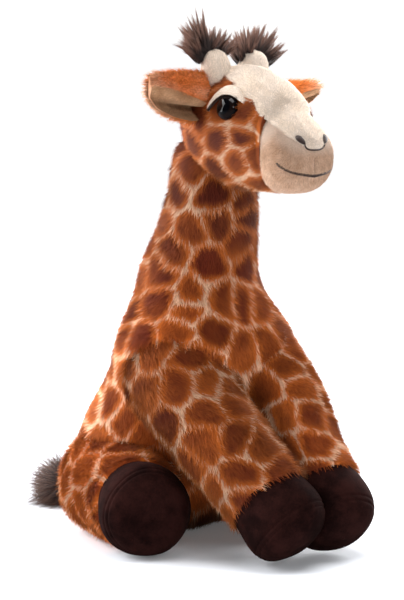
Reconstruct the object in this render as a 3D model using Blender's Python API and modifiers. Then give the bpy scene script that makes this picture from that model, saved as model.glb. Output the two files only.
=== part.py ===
"""A sitting plush giraffe, modelled as it is sewn and filled, in metres with +Z up.

It faces -Y, its left side is +X, and it sits on z = 0 with the origin under its seat.
Each stuffed form is a shell of cloth round its own filling, and hard eyes are held by washers.
"""

import math

import bmesh
import bpy
from mathutils import Matrix, Vector
from mathutils.bvhtree import BVHTree

# Cloth, clearances and mesh fineness
GAP = 0.0003  # between neighbouring pieces
CLOTH = 0.0026  # plush cloth with the dense foot of its pile
VELOUR = 0.0018  # short-pile cloth of the face and hooves
SOCKET_GAP = 0.0001  # round a limb's root in the body, past the corners that its cutter adds
NECK_GAP = 0.0006  # round the neck's top in the head
OVERRUN = 0.012  # how far a cutter passes what it cuts
FLOOR_CUT = 0.0005  # depth of the flat that a soft form rests on
SIDES = 10  # sides of a large cage before subdivision
HEAD_SIDES = 12
SMALL_SIDES = 8
SWEEP_STEPS = 3  # poses that a joint's clearance is made from

# Body and neck
BODY_HEIGHT = 0.263
BODY_HALF_WIDTH = 0.051
BODY_HALF_DEPTH = 0.049
NECK_LEAN = 0.048  # how far the neck's top lies in front of the seat
SEAT_BAG_HALF_WIDTH = 0.034
SEAT_BAG_HEIGHT = 0.030
SEAT_BAG_LIFT = 0.042  # it lies in the filling over the hips

# Head
HEAD_LENGTH = 0.082
HEAD_HALF_WIDTH = 0.0295
HEAD_HALF_HEIGHT = 0.0345
HEAD_LIFT = 0.001  # height of the head's middle over the neck's top
SEAM_SHARE = 1.0  # where the muzzle is sewn on, along the head
HEAD_BACK = 0.014  # how far the back of the head lies behind the neck's axis
MUZZLE_LENGTH = 0.0255
MUZZLE_HALF_WIDTH = 0.0220
MUZZLE_HALF_HEIGHT = 0.0195
MUZZLE_DROP = 0.0172  # from the head's middle to the muzzle's
PANEL_HALF_WIDTH = 0.0185
PANEL_BACK = 0.017  # how far the face panel's rear edge lies in front of the neck's axis

# Eyes
EYE_RADIUS = 0.007
EYE_SPREAD = 0.0235
EYE_LIFT = 0.013  # over the head's middle
EYE_RIM = 0.0008
LID_EDGE = 0.0030  # height of the lid's lower edge over the eye's middle
LASH_DEGREES = (22, 158)
EYE_RISE = 0.0046
EYE_SEAT = 0.0012
STEM_RADIUS = 0.0020
STEM_LENGTH = 0.0095
WASHER_RADIUS = 0.0065
WASHER_THICKNESS = 0.0012
LID_THICKNESS = 0.0014
LASH_RADIUS = 0.0006

# Horns, ears and face threads
HORN_RADIUS = 0.0065
HORN_LENGTH = 0.020
HORN_SPREAD = 0.014
HORN_FORWARD = 0.020  # from the neck's axis
HORN_TILT = 12  # degrees outwards
TUFT_START_SHARE = 0.60
HORN_TUFT_RADIUS = 0.0125
HORN_TUFT_HEIGHT = 0.022
EAR_LENGTH = 0.045
EAR_HALF_WIDTH = 0.017
EAR_THICKNESS = 0.0075
EAR_FORWARD = 0.020
EAR_RAISE = 0.0135
EAR_LIFT = 10  # degrees above level
EAR_EDGE_SHARE = 0.5
LINING_THICKNESS = 0.0016
EAR_SWING = 20
THREAD_RADIUS = 0.0006
MOUTH_HALF_WIDTH = 0.0175
MOUTH_DROP = 0.011  # below the muzzle's middle
MOUTH_CURL = 0.006
MOUTH_POINTS = 15
NOSTRIL_SPREAD = 0.0095
NOSTRIL_LIFT = 0.010
NOSTRIL_TILT = 35
NOSTRIL_LENGTH = 0.0065
NOSTRIL_WIDTH = 0.0036

# Front legs
SHOULDER_SPREAD = 0.036
SHOULDER_FORWARD = 0.052
SHOULDER_HEIGHT = 0.106
FRONT_LEG_LENGTH = 0.094  # from the shoulder's pivot to the hem
FRONT_LEG_RADIUS = 0.0280
FRONT_LEG_DROP = 42  # degrees below level
FRONT_LEG_TOE_IN = 11
FRONT_LEG_RAISE = 35
FRONT_LEG_TUCK = 4

# Hind legs
HIP_SPREAD = 0.037
HIP_FORWARD = -0.008
HIP_HEIGHT = 0.0340
HIND_LEG_LENGTH = 0.056
HIND_LEG_RADIUS = 0.0345
HIND_LEG_SPLAY = 24
HIND_LEG_DROP = 3.5
HIND_LEG_SPREAD = 25
HIND_LEG_CLOSE = 3

# Hooves
HOOF_LENGTH = 0.040
FRONT_HOOF_RADIUS = 0.0256
HIND_HOOF_RADIUS = 0.0285
SOLE_THICKNESS = 0.0030

# Tail
TAIL_LENGTH = 0.046
TAIL_RADIUS = 0.0085
TAIL_INSET = 0.003
TAIL_ASIDE = 14  # degrees towards its right
TAIL_TUFT_LENGTH = 0.030
TAIL_TUFT_RADIUS = 0.0125
TAIL_SWING = 30

# Rings of the body: height, forward, half width and half depth, as shares of the body's sizes
BODY_RING_SHARES = (
    (-0.002, -0.20, 0.50, 0.52),
    (0.018, -0.19, 0.80, 0.80),
    (0.080, -0.17, 0.96, 0.97),
    (0.205, -0.11, 1.13, 1.11),
    (0.325, 0.16, 1.02, 1.00),
    (0.450, 0.60, 0.91, 0.88),
    (0.580, 0.64, 0.80, 0.78),
    (0.705, 0.72, 0.645, 0.635),
    (0.795, 0.93, 0.560, 0.560),
    (0.850, 1.00, 0.520, 0.541),
    (0.910, 1.00, 0.475, 0.494),
    (0.965, 1.00, 0.380, 0.395),
    (1.000, 1.00, 0.150, 0.156),
)

# Rings of the head from back to front: along, lift, half width and half height, as shares of the head's sizes
HEAD_RING_SHARES = (
    (0.00, 0.22, 0.24, 0.26),
    (0.06, 0.18, 0.66, 0.68),
    (0.22, 0.08, 0.97, 0.96),
    (0.42, 0.00, 1.05, 1.06),
    (0.62, -0.09, 1.01, 0.99),
    (0.80, -0.24, 0.90, 0.80),
    (0.93, -0.42, 0.79, 0.64),
    (1.02, -0.50, 0.75, 0.56),
)

# Rings of the muzzle from its seam to the nose
MUZZLE_RING_SHARES = (
    (0.00, 0.06, 0.98, 0.99),
    (0.22, 0.03, 1.03, 1.02),
    (0.50, 0.00, 1.03, 1.00),
    (0.76, 0.00, 0.90, 0.86),
    (0.94, 0.01, 0.62, 0.58),
    (1.00, 0.02, 0.28, 0.26),
)

# Turns of a limb's round root, in degrees back from its widest ring
ROOT_DEGREES = (70, 36)

# Rings of a leg's tube: distance to the hem and radius, as shares
FRONT_TUBE_SHARES = ((0.00, 1.00), (0.35, 1.00), (0.80, 0.95), (1.00, 0.90))
HIND_TUBE_SHARES = ((0.00, 1.00), (0.35, 0.99), (0.80, 0.89), (1.00, 0.81))

# Rings of a hoof from the hem to the sole, of its pellet bag and of its sole
HOOF_SHARES = ((0.00, 0.90), (0.14, 1.00), (0.50, 1.07), (0.88, 0.97), (1.00, 0.86))
BAG_SHARES = ((0.00, 0.60), (0.14, 0.94), (0.50, 1.03), (0.88, 0.87), (0.99, 0.60))
SOLE_SHARES = ((0.00, 0.90), (0.12, 1.00), (0.92, 1.00), (1.40, 0.90), (1.75, 0.55))

# Rings of the seat's bag of pellets and of the tail's stub
SEAT_BAG_SHARES = ((0.00, 0.62), (0.18, 0.90), (0.45, 1.00), (0.75, 0.86), (1.00, 0.45))
TAIL_SHARES = ((0.00, 1.00), (0.50, 0.93), (0.94, 1.00), (1.00, 0.90))

# Rings of an ear from root to tip, of its lining, and of the tufts
EAR_SHARES = ((0.00, 0.25), (0.12, 0.50), (0.38, 0.98), (0.62, 1.00), (0.84, 0.66), (0.96, 0.30), (1.00, 0.10))
LINING_SHARES = ((0.16, 0.30), (0.38, 0.74), (0.62, 0.78), (0.80, 0.48), (0.88, 0.16))
HORN_SHARES = ((-0.30, 1.00), (0.20, 1.00), (0.80, 0.94), (1.04, 0.50))
TUFT_SHARES = ((0.00, 0.66), (0.16, 0.94), (0.50, 1.00), (0.84, 0.72), (1.00, 0.30))

COLOURS = {
    "rust_plush": ((0.42, 0.13, 0.03), 0.95),
    "cream_velour": ((0.74, 0.57, 0.40), 0.9),
    "beige_velour": ((0.62, 0.43, 0.27), 0.9),
    "brown_suede": ((0.045, 0.025, 0.022), 0.9),
    "long_pile": ((0.09, 0.055, 0.05), 0.95),
    "fibre_filling": ((0.85, 0.84, 0.80), 1.0),
    "pellet_cloth": ((0.80, 0.78, 0.70), 0.9),
    "brown_thread": ((0.05, 0.025, 0.02), 0.7),
    "black_gloss": ((0.01, 0.008, 0.007), 0.08),
    "clear_plastic": ((0.75, 0.75, 0.72), 0.35),
}

SIDE_SIGNS = (("left", 1), ("right", -1))


def clear_scene():
    for obj in list(bpy.data.objects):
        bpy.data.objects.remove(obj, do_unlink=True)


def new_collection(name):
    made = bpy.data.collections.new(name)
    bpy.context.scene.collection.children.link(made)
    return made


def new_material(name):
    colour, roughness = COLOURS[name]
    made = bpy.data.materials.new(name)
    made.use_nodes = True
    shader = made.node_tree.nodes["Principled BSDF"]
    shader.inputs["Base Color"].default_value = (*colour, 1.0)
    shader.inputs["Roughness"].default_value = roughness
    made.diffuse_color = (*colour, 1.0)
    return made


def new_empty(name, place, turned=None, parent=None):
    """An empty on a joint's axis, for the pieces that move with it."""
    made = bpy.data.objects.new(name, None)
    made.empty_display_size = EYE_RADIUS
    PARTS.objects.link(made)
    made.parent = parent
    made.matrix_world = Matrix.Translation(place) @ (turned or Matrix()).to_4x4()
    bpy.context.view_layer.update()
    return made


def finish(name, bm, look, parent=None):
    """Makes an object from a bmesh in its parent's frame. One with no look is a cutter."""
    bmesh.ops.recalc_face_normals(bm, faces=bm.faces)
    mesh = bpy.data.meshes.new(name)
    bm.to_mesh(mesh)
    bm.free()
    mesh.shade_smooth()
    made = bpy.data.objects.new(name, mesh)
    (PARTS if look else CUTTERS).objects.link(made)
    if look:
        mesh.materials.append(MATERIALS[look])
    else:
        made.hide_render = True
        made.display_type = "WIRE"
    made.parent = parent
    return made


def smooth(obj):
    modifier = obj.modifiers.new("Softness", "SUBSURF")
    modifier.levels = 1
    modifier.render_levels = 1
    return obj


def cut(target, tool, operation="DIFFERENCE"):
    modifier = target.modifiers.new(tool.name, "BOOLEAN")
    modifier.operation = operation
    modifier.object = tool
    return target


def ring_points(ring, sides, growth=0.0):
    centre, across, along = ring
    wide = across.normalized() * (across.length + growth)
    deep = along.normalized() * (along.length + growth)
    turns = (2 * math.pi * i / sides for i in range(sides))
    return [centre + wide * math.cos(t) + deep * math.sin(t) for t in turns]


def form(name, rings, look=None, parent=None, sides=SIDES, soft=True, crisp=(False, False)):
    """A closed form through rings. A soft one is drawn outwards, so that subdivision gives its real size.

    A crisp end keeps its edge and its place, as a hem does.
    """
    kept = (3 + math.cos(2 * math.pi / sides)) / 4 if soft else 1
    bm = bmesh.new()
    loops = []
    for centre, across, along in rings:
        points = ring_points((centre, across / kept, along / kept), sides)
        loops.append([bm.verts.new(p) for p in points])
    for low, high in zip(loops, loops[1:]):
        for i in range(sides):
            j = (i + 1) % sides
            bm.faces.new((low[i], low[j], high[j], high[i]))
    bm.faces.new(loops[0])
    bm.faces.new(reversed(loops[-1]))
    crease = bm.edges.layers.float.new("crease_edge")
    for loop, kept_edge in ((loops[0], crisp[0]), (loops[-1], crisp[1])):
        for a, b in zip(loop, loop[1:] + loop[:1]):
            bm.edges.get((a, b))[crease] = float(kept_edge)
    made = finish(name, bm, look, parent)
    return smooth(made) if soft else made


def inside(rings, by):
    """The same rings, drawn in by a wall at the sides and at both ends."""
    places = [ring[0] for ring in rings]
    run = [0.0]
    for a, b in zip(places, places[1:]):
        run.append(run[-1] + (b - a).length)
    made = []
    for i, (centre, across, along) in enumerate(rings):
        ahead = (places[min(i + 1, len(places) - 1)] - places[max(i - 1, 0)]).normalized()
        slid = centre + ahead * by * (1 - 2 * run[i] / run[-1])
        thin = [v.normalized() * max(v.length - by, CLOTH / 2) for v in (across, along)]
        made.append((slid, *thin))
    return made


def softened(rings):
    """Rings where subdivision leaves them, each drawn towards its neighbours."""
    last = len(rings) - 1
    made = []
    for i, ring in enumerate(rings):
        near = rings[max(i - 1, 0)], rings[min(i + 1, last)]
        made.append(tuple((a + b * 6 + c) / 8 for a, b, c in zip(near[0], ring, near[1])))
    return made


def swept_hull(name, rings, parent, axis, degrees, growth):
    """A cutter that clears a soft form's rings at every pose of a hinge through the parent's origin."""
    bm = bmesh.new()
    low, high = degrees
    outside = 1 / math.cos(math.pi / SMALL_SIDES)
    out = (rings[0][0] - rings[1][0]).normalized()
    round_end = (rings[0][0] + out * growth, rings[0][1] / 4, rings[0][2] / 4)
    rings = [round_end] + softened(rings)
    for step in range(SWEEP_STEPS + 1):
        angle = math.radians(low + (high - low) * step / SWEEP_STEPS)
        pose = Matrix.Rotation(angle, 3, axis)
        for centre, across, along in rings:
            for point in ring_points((centre, across * outside, along * outside), SMALL_SIDES, growth):
                bm.verts.new(pose @ point)
    hull = bmesh.ops.convex_hull(bm, input=bm.verts)
    spare = [e for e in hull["geom_interior"] + hull["geom_unused"] if isinstance(e, bmesh.types.BMVert)]
    bmesh.ops.delete(bm, geom=list(set(spare)), context="VERTS")
    return finish(name, bm, None, parent)


def box_cutter(name, low, high, parent=None):
    bm = bmesh.new()
    bmesh.ops.create_cube(bm, size=1)
    size = Vector(high) - Vector(low)
    middle = (Vector(high) + Vector(low)) / 2
    for vert in bm.verts:
        vert.co = middle + Vector(c * s for c, s in zip(vert.co, size))
    return finish(name, bm, None, parent)


def turned(name, profile, look, parent=None, steps=16):
    """A turned piece from a profile of radius and height pairs that runs down its outer side."""
    bm = bmesh.new()
    closed = profile[0] == profile[-1]
    points = [bm.verts.new((radius, 0, height)) for radius, height in profile[: -1 if closed else None]]
    for a, b in zip(points, points[1:] + points[:1] * closed):
        bm.edges.new((a, b))
    made = finish(name, bm, look, parent)
    screw = made.modifiers.new("Turn", "SCREW")
    screw.steps = steps
    screw.render_steps = steps
    screw.use_merge_vertices = True
    screw.merge_threshold = GAP / 10
    return made


def ball(name, radius, look=None, parent=None, centre=(0, 0, 0), segments=16):
    bm = bmesh.new()
    bmesh.ops.create_uvsphere(bm, u_segments=segments, v_segments=segments // 2, radius=radius)
    bmesh.ops.translate(bm, verts=bm.verts, vec=centre)
    return finish(name, bm, look, parent)


def thread(name, points, radius, look, parent):
    """A round thread along points in its parent's frame."""
    line = bpy.data.curves.new(name, "CURVE")
    line.dimensions = "3D"
    line.bevel_depth = radius
    line.bevel_resolution = 1
    line.use_fill_caps = True
    spline = line.splines.new("POLY")
    spline.points.add(len(points) - 1)
    for knot, place in zip(spline.points, points):
        knot.co = (*place, 1)
    line.materials.append(MATERIALS[look])
    made = bpy.data.objects.new(name, line)
    PARTS.objects.link(made)
    made.parent = parent
    return made


def surface_of(obj):
    """The evaluated surface of an object in world space, for placing what sits on it."""
    bpy.context.view_layer.update()
    graph = bpy.context.evaluated_depsgraph_get()
    evaluated = obj.evaluated_get(graph)
    mesh = evaluated.to_mesh()
    world = evaluated.matrix_world
    points = [world @ v.co for v in mesh.vertices]
    faces = [tuple(p.vertices) for p in mesh.polygons]
    evaluated.to_mesh_clear()
    return BVHTree.FromPolygons(points, faces)


def frame_on(surface, start, towards, up=Vector((0, 0, 1))):
    """The frame where a ray meets a surface: +Z is the outward normal and +Y leans up."""
    place, normal, _, _ = surface.ray_cast(Vector(start), Vector(towards).normalized())
    side = up.cross(normal).normalized()
    rise = normal.cross(side)
    return Matrix.Translation(place) @ Matrix((side, rise, normal)).transposed().to_4x4()


def body_rings():
    made = []
    for height, forward, wide, deep in BODY_RING_SHARES:
        centre = Vector((0, -NECK_LEAN * forward, BODY_HEIGHT * height))
        made.append((centre, Vector((BODY_HALF_WIDTH * wide, 0, 0)), Vector((0, BODY_HALF_DEPTH * deep, 0))))
    made[0][0].z = -FLOOR_CUT
    return made


def head_rings():
    made = []
    for along, lift, wide, high in HEAD_RING_SHARES:
        centre = Vector((0, HEAD_BACK - HEAD_LENGTH * along, HEAD_HALF_HEIGHT * lift))
        made.append((centre, Vector((HEAD_HALF_WIDTH * wide, 0, 0)), Vector((0, 0, HEAD_HALF_HEIGHT * high))))
    return made


def muzzle_rings():
    made = []
    for along, lift, wide, high in MUZZLE_RING_SHARES:
        y = SEAM - GAP - (MUZZLE_LENGTH - GAP) * along
        centre = Vector((0, y, MUZZLE_HALF_HEIGHT * lift - MUZZLE_DROP))
        wide_by = Vector((MUZZLE_HALF_WIDTH * wide, 0, 0))
        made.append((centre, wide_by, Vector((0, 0, MUZZLE_HALF_HEIGHT * high))))
    return made


def axis_rings(profile, tall_share=1.0):
    """Rings down a limb's own -Z axis, from pairs of distance and radius."""
    return [
        (Vector((0, 0, -along)), Vector((radius, 0, 0)), Vector((0, radius * tall_share, 0)))
        for along, radius in profile
    ]


def root_profile(radius):
    """The round root of a limb, centred on its pivot."""
    return [
        (-radius * math.sin(math.radians(a)), radius * math.cos(math.radians(a)))
        for a in ROOT_DEGREES
    ]


def limb_rings(radius, length, shares, wall=0.0, past=0.0):
    """A leg from its root in the body to its hem. The wall draws it in, and past carries it beyond the hem."""
    tube = [(length * along, radius * share - wall) for along, share in shares]
    if past:
        tube.append((length + past, tube[-1][1]))
    return axis_rings(root_profile(radius - wall) + tube)


def hoof_rings(radius, start, wall=0.0, past=0.0):
    """A hoof from the leg's hem to its sole's seam."""
    profile = [(start + HOOF_LENGTH * along, radius * share - wall) for along, share in HOOF_SHARES]
    if past:
        profile.insert(0, (start - past, profile[0][1]))
        profile.append((start + HOOF_LENGTH + past, profile[-1][1]))
    return axis_rings(profile)


def limb_frame(heading, drop):
    """A limb's frame: -Z runs along it, at a heading from straight ahead and a drop below level."""
    return Matrix.Rotation(math.radians(heading), 3, "Z") @ Matrix.Rotation(math.radians(drop - 90), 3, "X")


def make_leg(name, pivot, leg, hoof_radius, axis, degrees):
    """One leg with its filling, hoof, bag of pellets and sole, and the cutter that clears it in the body."""
    cover = form(f"{name}_cover", limb_rings(*leg), "rust_plush", pivot, crisp=(False, True))
    hollow = form(f"{name}_hollow", limb_rings(*leg, CLOTH, OVERRUN), None, pivot, SMALL_SIDES, soft=False)
    cut(cover, hollow)
    cut(cover, FLOOR)
    form(f"{name}_filling", limb_rings(*leg, CLOTH + GAP), "fibre_filling", pivot, SMALL_SIDES, soft=False)

    start = leg[1] + GAP
    crisp = (True, True)
    hoof = form(f"{name}_hoof", hoof_rings(hoof_radius, start), "brown_suede", pivot, crisp=crisp)
    hollow_rings = hoof_rings(hoof_radius, start, VELOUR, OVERRUN)
    cut(hoof, form(f"{name}_hoof_hollow", hollow_rings, None, pivot, SMALL_SIDES, soft=False))
    cut(hoof, FLOOR)
    seat = start + HOOF_LENGTH - SOLE_THICKNESS
    bag_profile = [
        (start + (seat - start) * along, hoof_radius * share - VELOUR - GAP) for along, share in BAG_SHARES
    ]
    form(f"{name}_pellet_bag", axis_rings(bag_profile), "pellet_cloth", pivot, SMALL_SIDES, soft=False)
    mouth = hoof_radius * HOOF_SHARES[-1][1] - VELOUR - GAP
    sole_profile = [(seat + GAP + SOLE_THICKNESS * along, mouth * share) for along, share in SOLE_SHARES]
    sole = form(f"{name}_sole", axis_rings(sole_profile), "brown_suede", pivot, SMALL_SIDES, soft=False)
    cut(sole, FLOOR)

    local_axis = pivot.matrix_world.to_3x3().inverted() @ Vector(axis)
    return swept_hull(f"{name}_clearance", limb_rings(*leg)[:-1], pivot, local_axis, degrees, SOCKET_GAP)


def press(side, sign):
    """Flattens a front leg where it presses on its neighbour, with its wall kept."""
    depths = {
        "cover": 0,
        "hollow": CLOTH,
        "filling": CLOTH + GAP,
        "hoof": 0,
        "hoof_hollow": VELOUR,
        "pellet_bag": VELOUR + GAP,
        "sole": VELOUR + GAP,
    }
    reach = BODY_HEIGHT
    for piece, depth in depths.items():
        low, high = sorted((-sign * reach, sign * (GAP / 2 + depth)))
        plane = box_cutter(f"{side}_{piece}_press", (low, -reach, -reach), (high, reach, reach))
        cut(bpy.data.objects[f"{side}_front_leg_{piece}"], plane)


def make_body(clearances):
    """The body and neck in one cloth cover, with its filling and the bag of pellets that weighs the seat."""
    rings = body_rings()
    cover = form("body_cover", rings, "rust_plush", SEAT, crisp=(True, True))
    rings = softened(rings)
    cut(cover, form("body_hollow", inside(rings, CLOTH), None, SEAT, soft=False))
    cut(cover, FLOOR)
    filling = form("body_filling", inside(rings, CLOTH + GAP), "fibre_filling", SEAT, soft=False)
    bag = [(SEAT_BAG_LIFT + SEAT_BAG_HEIGHT * up, SEAT_BAG_HALF_WIDTH * share) for up, share in SEAT_BAG_SHARES]
    bag_centre = Vector((0, rings[1][0].y, 0))
    bag_rings = [
        (bag_centre + Vector((0, 0, up)), Vector((radius, 0, 0)), Vector((0, radius, 0))) for up, radius in bag
    ]
    bag_form = form("seat_pellet_bag", bag_rings, "pellet_cloth", SEAT, SMALL_SIDES, soft=False)
    pocket_rings = [(c, a * (1 + GAP / a.length), b * (1 + GAP / b.length)) for c, a, b in bag_rings]
    pocket_rings = [(c.copy(), a, b) for c, a, b in pocket_rings]
    pocket_rings[0][0].z -= GAP
    pocket_rings[-1][0].z += GAP
    cut(filling, form("seat_pocket", pocket_rings, None, SEAT, SMALL_SIDES, soft=False))
    for tool in clearances:
        for piece in (cover, filling, bag_form):
            cut(piece, tool)


def make_tail():
    """The tail's stub and tuft, sewn on at the back of the seat."""
    rings = body_rings()
    back = rings[1][0].y + rings[1][2].length - TAIL_INSET
    place = (0, back, TAIL_TUFT_RADIUS - FLOOR_CUT)
    pivot = new_empty("tail_root", place, limb_frame(180 + TAIL_ASIDE, 0), SEAT)
    tube = [(TAIL_LENGTH * along, TAIL_RADIUS * share) for along, share in TAIL_SHARES]
    stub_rings = axis_rings(root_profile(TAIL_RADIUS) + tube)
    stub = form("tail_stub", stub_rings, "rust_plush", pivot, SMALL_SIDES)
    cut(stub, FLOOR)
    start = TAIL_LENGTH + GAP
    tuft = [(start + TAIL_TUFT_LENGTH * along, TAIL_TUFT_RADIUS * share) for along, share in TUFT_SHARES]
    cut(form("tail_tuft", axis_rings(tuft), "long_pile", pivot, SMALL_SIDES), FLOOR)
    axis = pivot.matrix_world.to_3x3().inverted() @ Vector((0, 0, 1))
    swing = (-TAIL_SWING, TAIL_SWING)
    return swept_hull("tail_clearance", stub_rings, pivot, axis, swing, SOCKET_GAP)


def make_ear(side, sign, surface):
    """An ear of plush with a velour lining let into its front."""
    beside = HEAD.matrix_world @ Vector((sign * EAR_LENGTH * 2, -EAR_FORWARD, EAR_RAISE))
    hit, _, _, _ = surface.ray_cast(beside, Vector((-sign, 0, 0)))
    root = hit - Vector((sign * EAR_THICKNESS / 2, 0, 0))
    pivot = new_empty(f"{side}_ear_root", root, limb_frame(sign * 90, -EAR_LIFT), HEAD)
    rings = [
        (
            Vector((0, 0, -EAR_LENGTH * along)),
            Vector((EAR_THICKNESS / 2 * max(share, EAR_EDGE_SHARE), 0, 0)),
            Vector((0, EAR_HALF_WIDTH * share, 0)),
        )
        for along, share in EAR_SHARES
    ]
    ear = form(f"{side}_ear", rings, "rust_plush", pivot, SMALL_SIDES)
    front = Vector((-sign * (EAR_THICKNESS / 2 - LINING_THICKNESS / 4), 0, 0))
    for name, growth in ((f"{side}_ear_lining", 0), (f"{side}_ear_recess", GAP)):
        lining = [
            (
                front + Vector((0, 0, -EAR_LENGTH * along)),
                Vector((LINING_THICKNESS / 2 + growth, 0, 0)),
                Vector((0, EAR_HALF_WIDTH * share + growth, 0)),
            )
            for along, share in LINING_SHARES
        ]
        if growth:
            lining[0][0].z += growth
            lining[-1][0].z -= growth
            cut(ear, form(name, lining, None, pivot, SMALL_SIDES, soft=False))
        else:
            form(name, lining, "beige_velour", pivot, SMALL_SIDES, soft=False)
    axis = pivot.matrix_world.to_3x3().inverted() @ Vector((0, 0, 1))
    return swept_hull(f"{side}_ear_clearance", rings[:4], pivot, axis, (-EAR_SWING, EAR_SWING), SOCKET_GAP)


def make_eye(side, sign, surface, skull):
    """A domed eye on a stem, its washer, a velour lid and a felt lash. It gives the cutters for its seat."""
    start = HEAD.matrix_world @ Vector((sign * EYE_SPREAD, -HEAD_LENGTH * 2, EYE_LIFT))
    frame = frame_on(surface, start, (0, 1, 0))
    seat = new_empty(f"{side}_eye_seat", frame.translation, frame.to_3x3(), HEAD)
    base = -EYE_SEAT + GAP
    dome = [
        (EYE_RADIUS * math.cos(math.radians(a)), EYE_RISE * math.sin(math.radians(a)) + base + EYE_RIM)
        for a in range(90, -1, -15)
    ]
    dome[0] = (0, dome[0][1])
    stem = [
        (EYE_RADIUS, base),
        (STEM_RADIUS, base),
        (STEM_RADIUS, base - STEM_LENGTH),
        (0, base - STEM_LENGTH),
    ]
    turned(f"{side}_eye", dome + stem, "black_gloss", seat, steps=16)
    top = base - CLOTH - EYE_SEAT
    washer = [
        (WASHER_RADIUS, top),
        (WASHER_RADIUS, top - WASHER_THICKNESS),
        (STEM_RADIUS + GAP, top - WASHER_THICKNESS),
        (STEM_RADIUS + GAP, top),
        (WASHER_RADIUS, top),
    ]
    turned(f"{side}_eye_washer", washer, "clear_plastic", seat, steps=12)
    lash_circle = EYE_RADIUS + GAP + LASH_RADIUS
    lid_hollow = lash_circle + LASH_RADIUS + GAP
    lid = ball(f"{side}_eyelid", lid_hollow + LID_THICKNESS, "cream_velour", seat)
    cut(lid, ball(f"{side}_lid_hollow", lid_hollow, None, seat))
    reach = lid_hollow + LID_THICKNESS + OVERRUN
    cut(lid, box_cutter(f"{side}_lid_edge", (-reach, -reach, -reach), (reach, LID_EDGE, reach), seat))
    cut(lid, skull)
    low, high = (math.radians(a) for a in LASH_DEGREES)
    turns = [low + (high - low) * i / MOUTH_POINTS for i in range(MOUTH_POINTS + 1)]
    arc = [(lash_circle * math.cos(t), lash_circle * math.sin(t), LASH_RADIUS + GAP) for t in turns]
    thread(f"{side}_eyelash", arc, LASH_RADIUS, "brown_thread", seat)
    recess = [(EYE_RADIUS + GAP, OVERRUN), (EYE_RADIUS + GAP, -EYE_SEAT), (STEM_RADIUS + GAP, -EYE_SEAT)]
    recess += [(STEM_RADIUS + GAP, -OVERRUN), (0, -OVERRUN)]
    hole = turned(f"{side}_eye_hole", [(0, OVERRUN)] + recess, None, seat, steps=16)
    pocket_profile = [
        (0, OVERRUN),
        (WASHER_RADIUS + GAP, OVERRUN),
        (WASHER_RADIUS + GAP, top - WASHER_THICKNESS - GAP),
        (STEM_RADIUS + GAP, top - WASHER_THICKNESS - GAP),
        (STEM_RADIUS + GAP, base - STEM_LENGTH - GAP),
        (0, base - STEM_LENGTH - GAP),
    ]
    pocket = turned(f"{side}_washer_pocket", pocket_profile, None, seat, steps=12)
    return hole, pocket


def make_horn(side, sign, surface, skull):
    """A stuffed horn of velour with a tuft over its end."""
    above = HEAD.matrix_world @ Vector((sign * HORN_SPREAD, -HORN_FORWARD, HEAD_LENGTH))
    base, _, _, _ = surface.ray_cast(above, Vector((0, 0, -1)))
    root = new_empty(f"{side}_horn_root", base, limb_frame(sign * 90, HORN_TILT - 90), HEAD)
    profile = [(HORN_LENGTH * along, HORN_RADIUS * share) for along, share in HORN_SHARES]
    horn = form(f"{side}_horn", axis_rings(profile), "cream_velour", root, SMALL_SIDES)
    cut(horn, skull)
    start = HORN_LENGTH * TUFT_START_SHARE
    tuft = [(start + HORN_TUFT_HEIGHT * along, HORN_TUFT_RADIUS * share) for along, share in TUFT_SHARES]
    tuft_form = form(f"{side}_horn_tuft", axis_rings(tuft), "long_pile", root, SMALL_SIDES)
    grown = [(along, radius + GAP) for along, radius in profile]
    grown[-1] = (grown[-1][0] + GAP, grown[-1][1])
    cut(tuft_form, form(f"{side}_horn_clearance", axis_rings(grown), None, root, SMALL_SIDES))


def make_muzzle():
    """The velour muzzle with its filling, and the mouth and nostrils embroidered on it."""
    rings = muzzle_rings()
    cover = form("muzzle_cover", rings, "beige_velour", HEAD, HEAD_SIDES, crisp=(True, False))
    muzzle = surface_of(cover)
    hollow_rings = inside(rings, VELOUR)
    hollow_rings[0][0].y += OVERRUN
    cut(cover, form("muzzle_hollow", hollow_rings, None, HEAD, HEAD_SIDES, soft=False))
    form("muzzle_filling", inside(rings, VELOUR + GAP), "fibre_filling", HEAD, HEAD_SIDES, soft=False)

    to_head = HEAD.matrix_world.inverted()
    points = []
    for i in range(MOUTH_POINTS + 1):
        across = 2 * i / MOUTH_POINTS - 1
        height = MOUTH_CURL * across**2 - MOUTH_DROP - MUZZLE_DROP
        start = HEAD.matrix_world @ Vector((MOUTH_HALF_WIDTH * across, -HEAD_LENGTH * 2, height))
        frame = frame_on(muzzle, start, (0, 1, 0))
        points.append(to_head @ frame @ Vector((0, 0, THREAD_RADIUS + GAP)))
    thread("mouth_thread", points, THREAD_RADIUS, "brown_thread", HEAD)

    clear = form("muzzle_clearance", inside(rings, -GAP), None, HEAD, HEAD_SIDES)
    for side, sign in SIDE_SIGNS:
        height = NOSTRIL_LIFT - MUZZLE_DROP
        start = HEAD.matrix_world @ Vector((sign * NOSTRIL_SPREAD, -HEAD_LENGTH * 2, height))
        frame = frame_on(muzzle, start, (0, 1, 0)) @ Matrix.Rotation(sign * math.radians(NOSTRIL_TILT), 4, "Z")
        nostril = ball(f"{side}_nostril", 1, "brown_thread", HEAD, segments=14)
        nostril.data.transform(Matrix.Diagonal((NOSTRIL_LENGTH / 2, NOSTRIL_WIDTH / 2, THREAD_RADIUS * 2, 1)))
        nostril.matrix_world = frame
        cut(nostril, clear)


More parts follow.
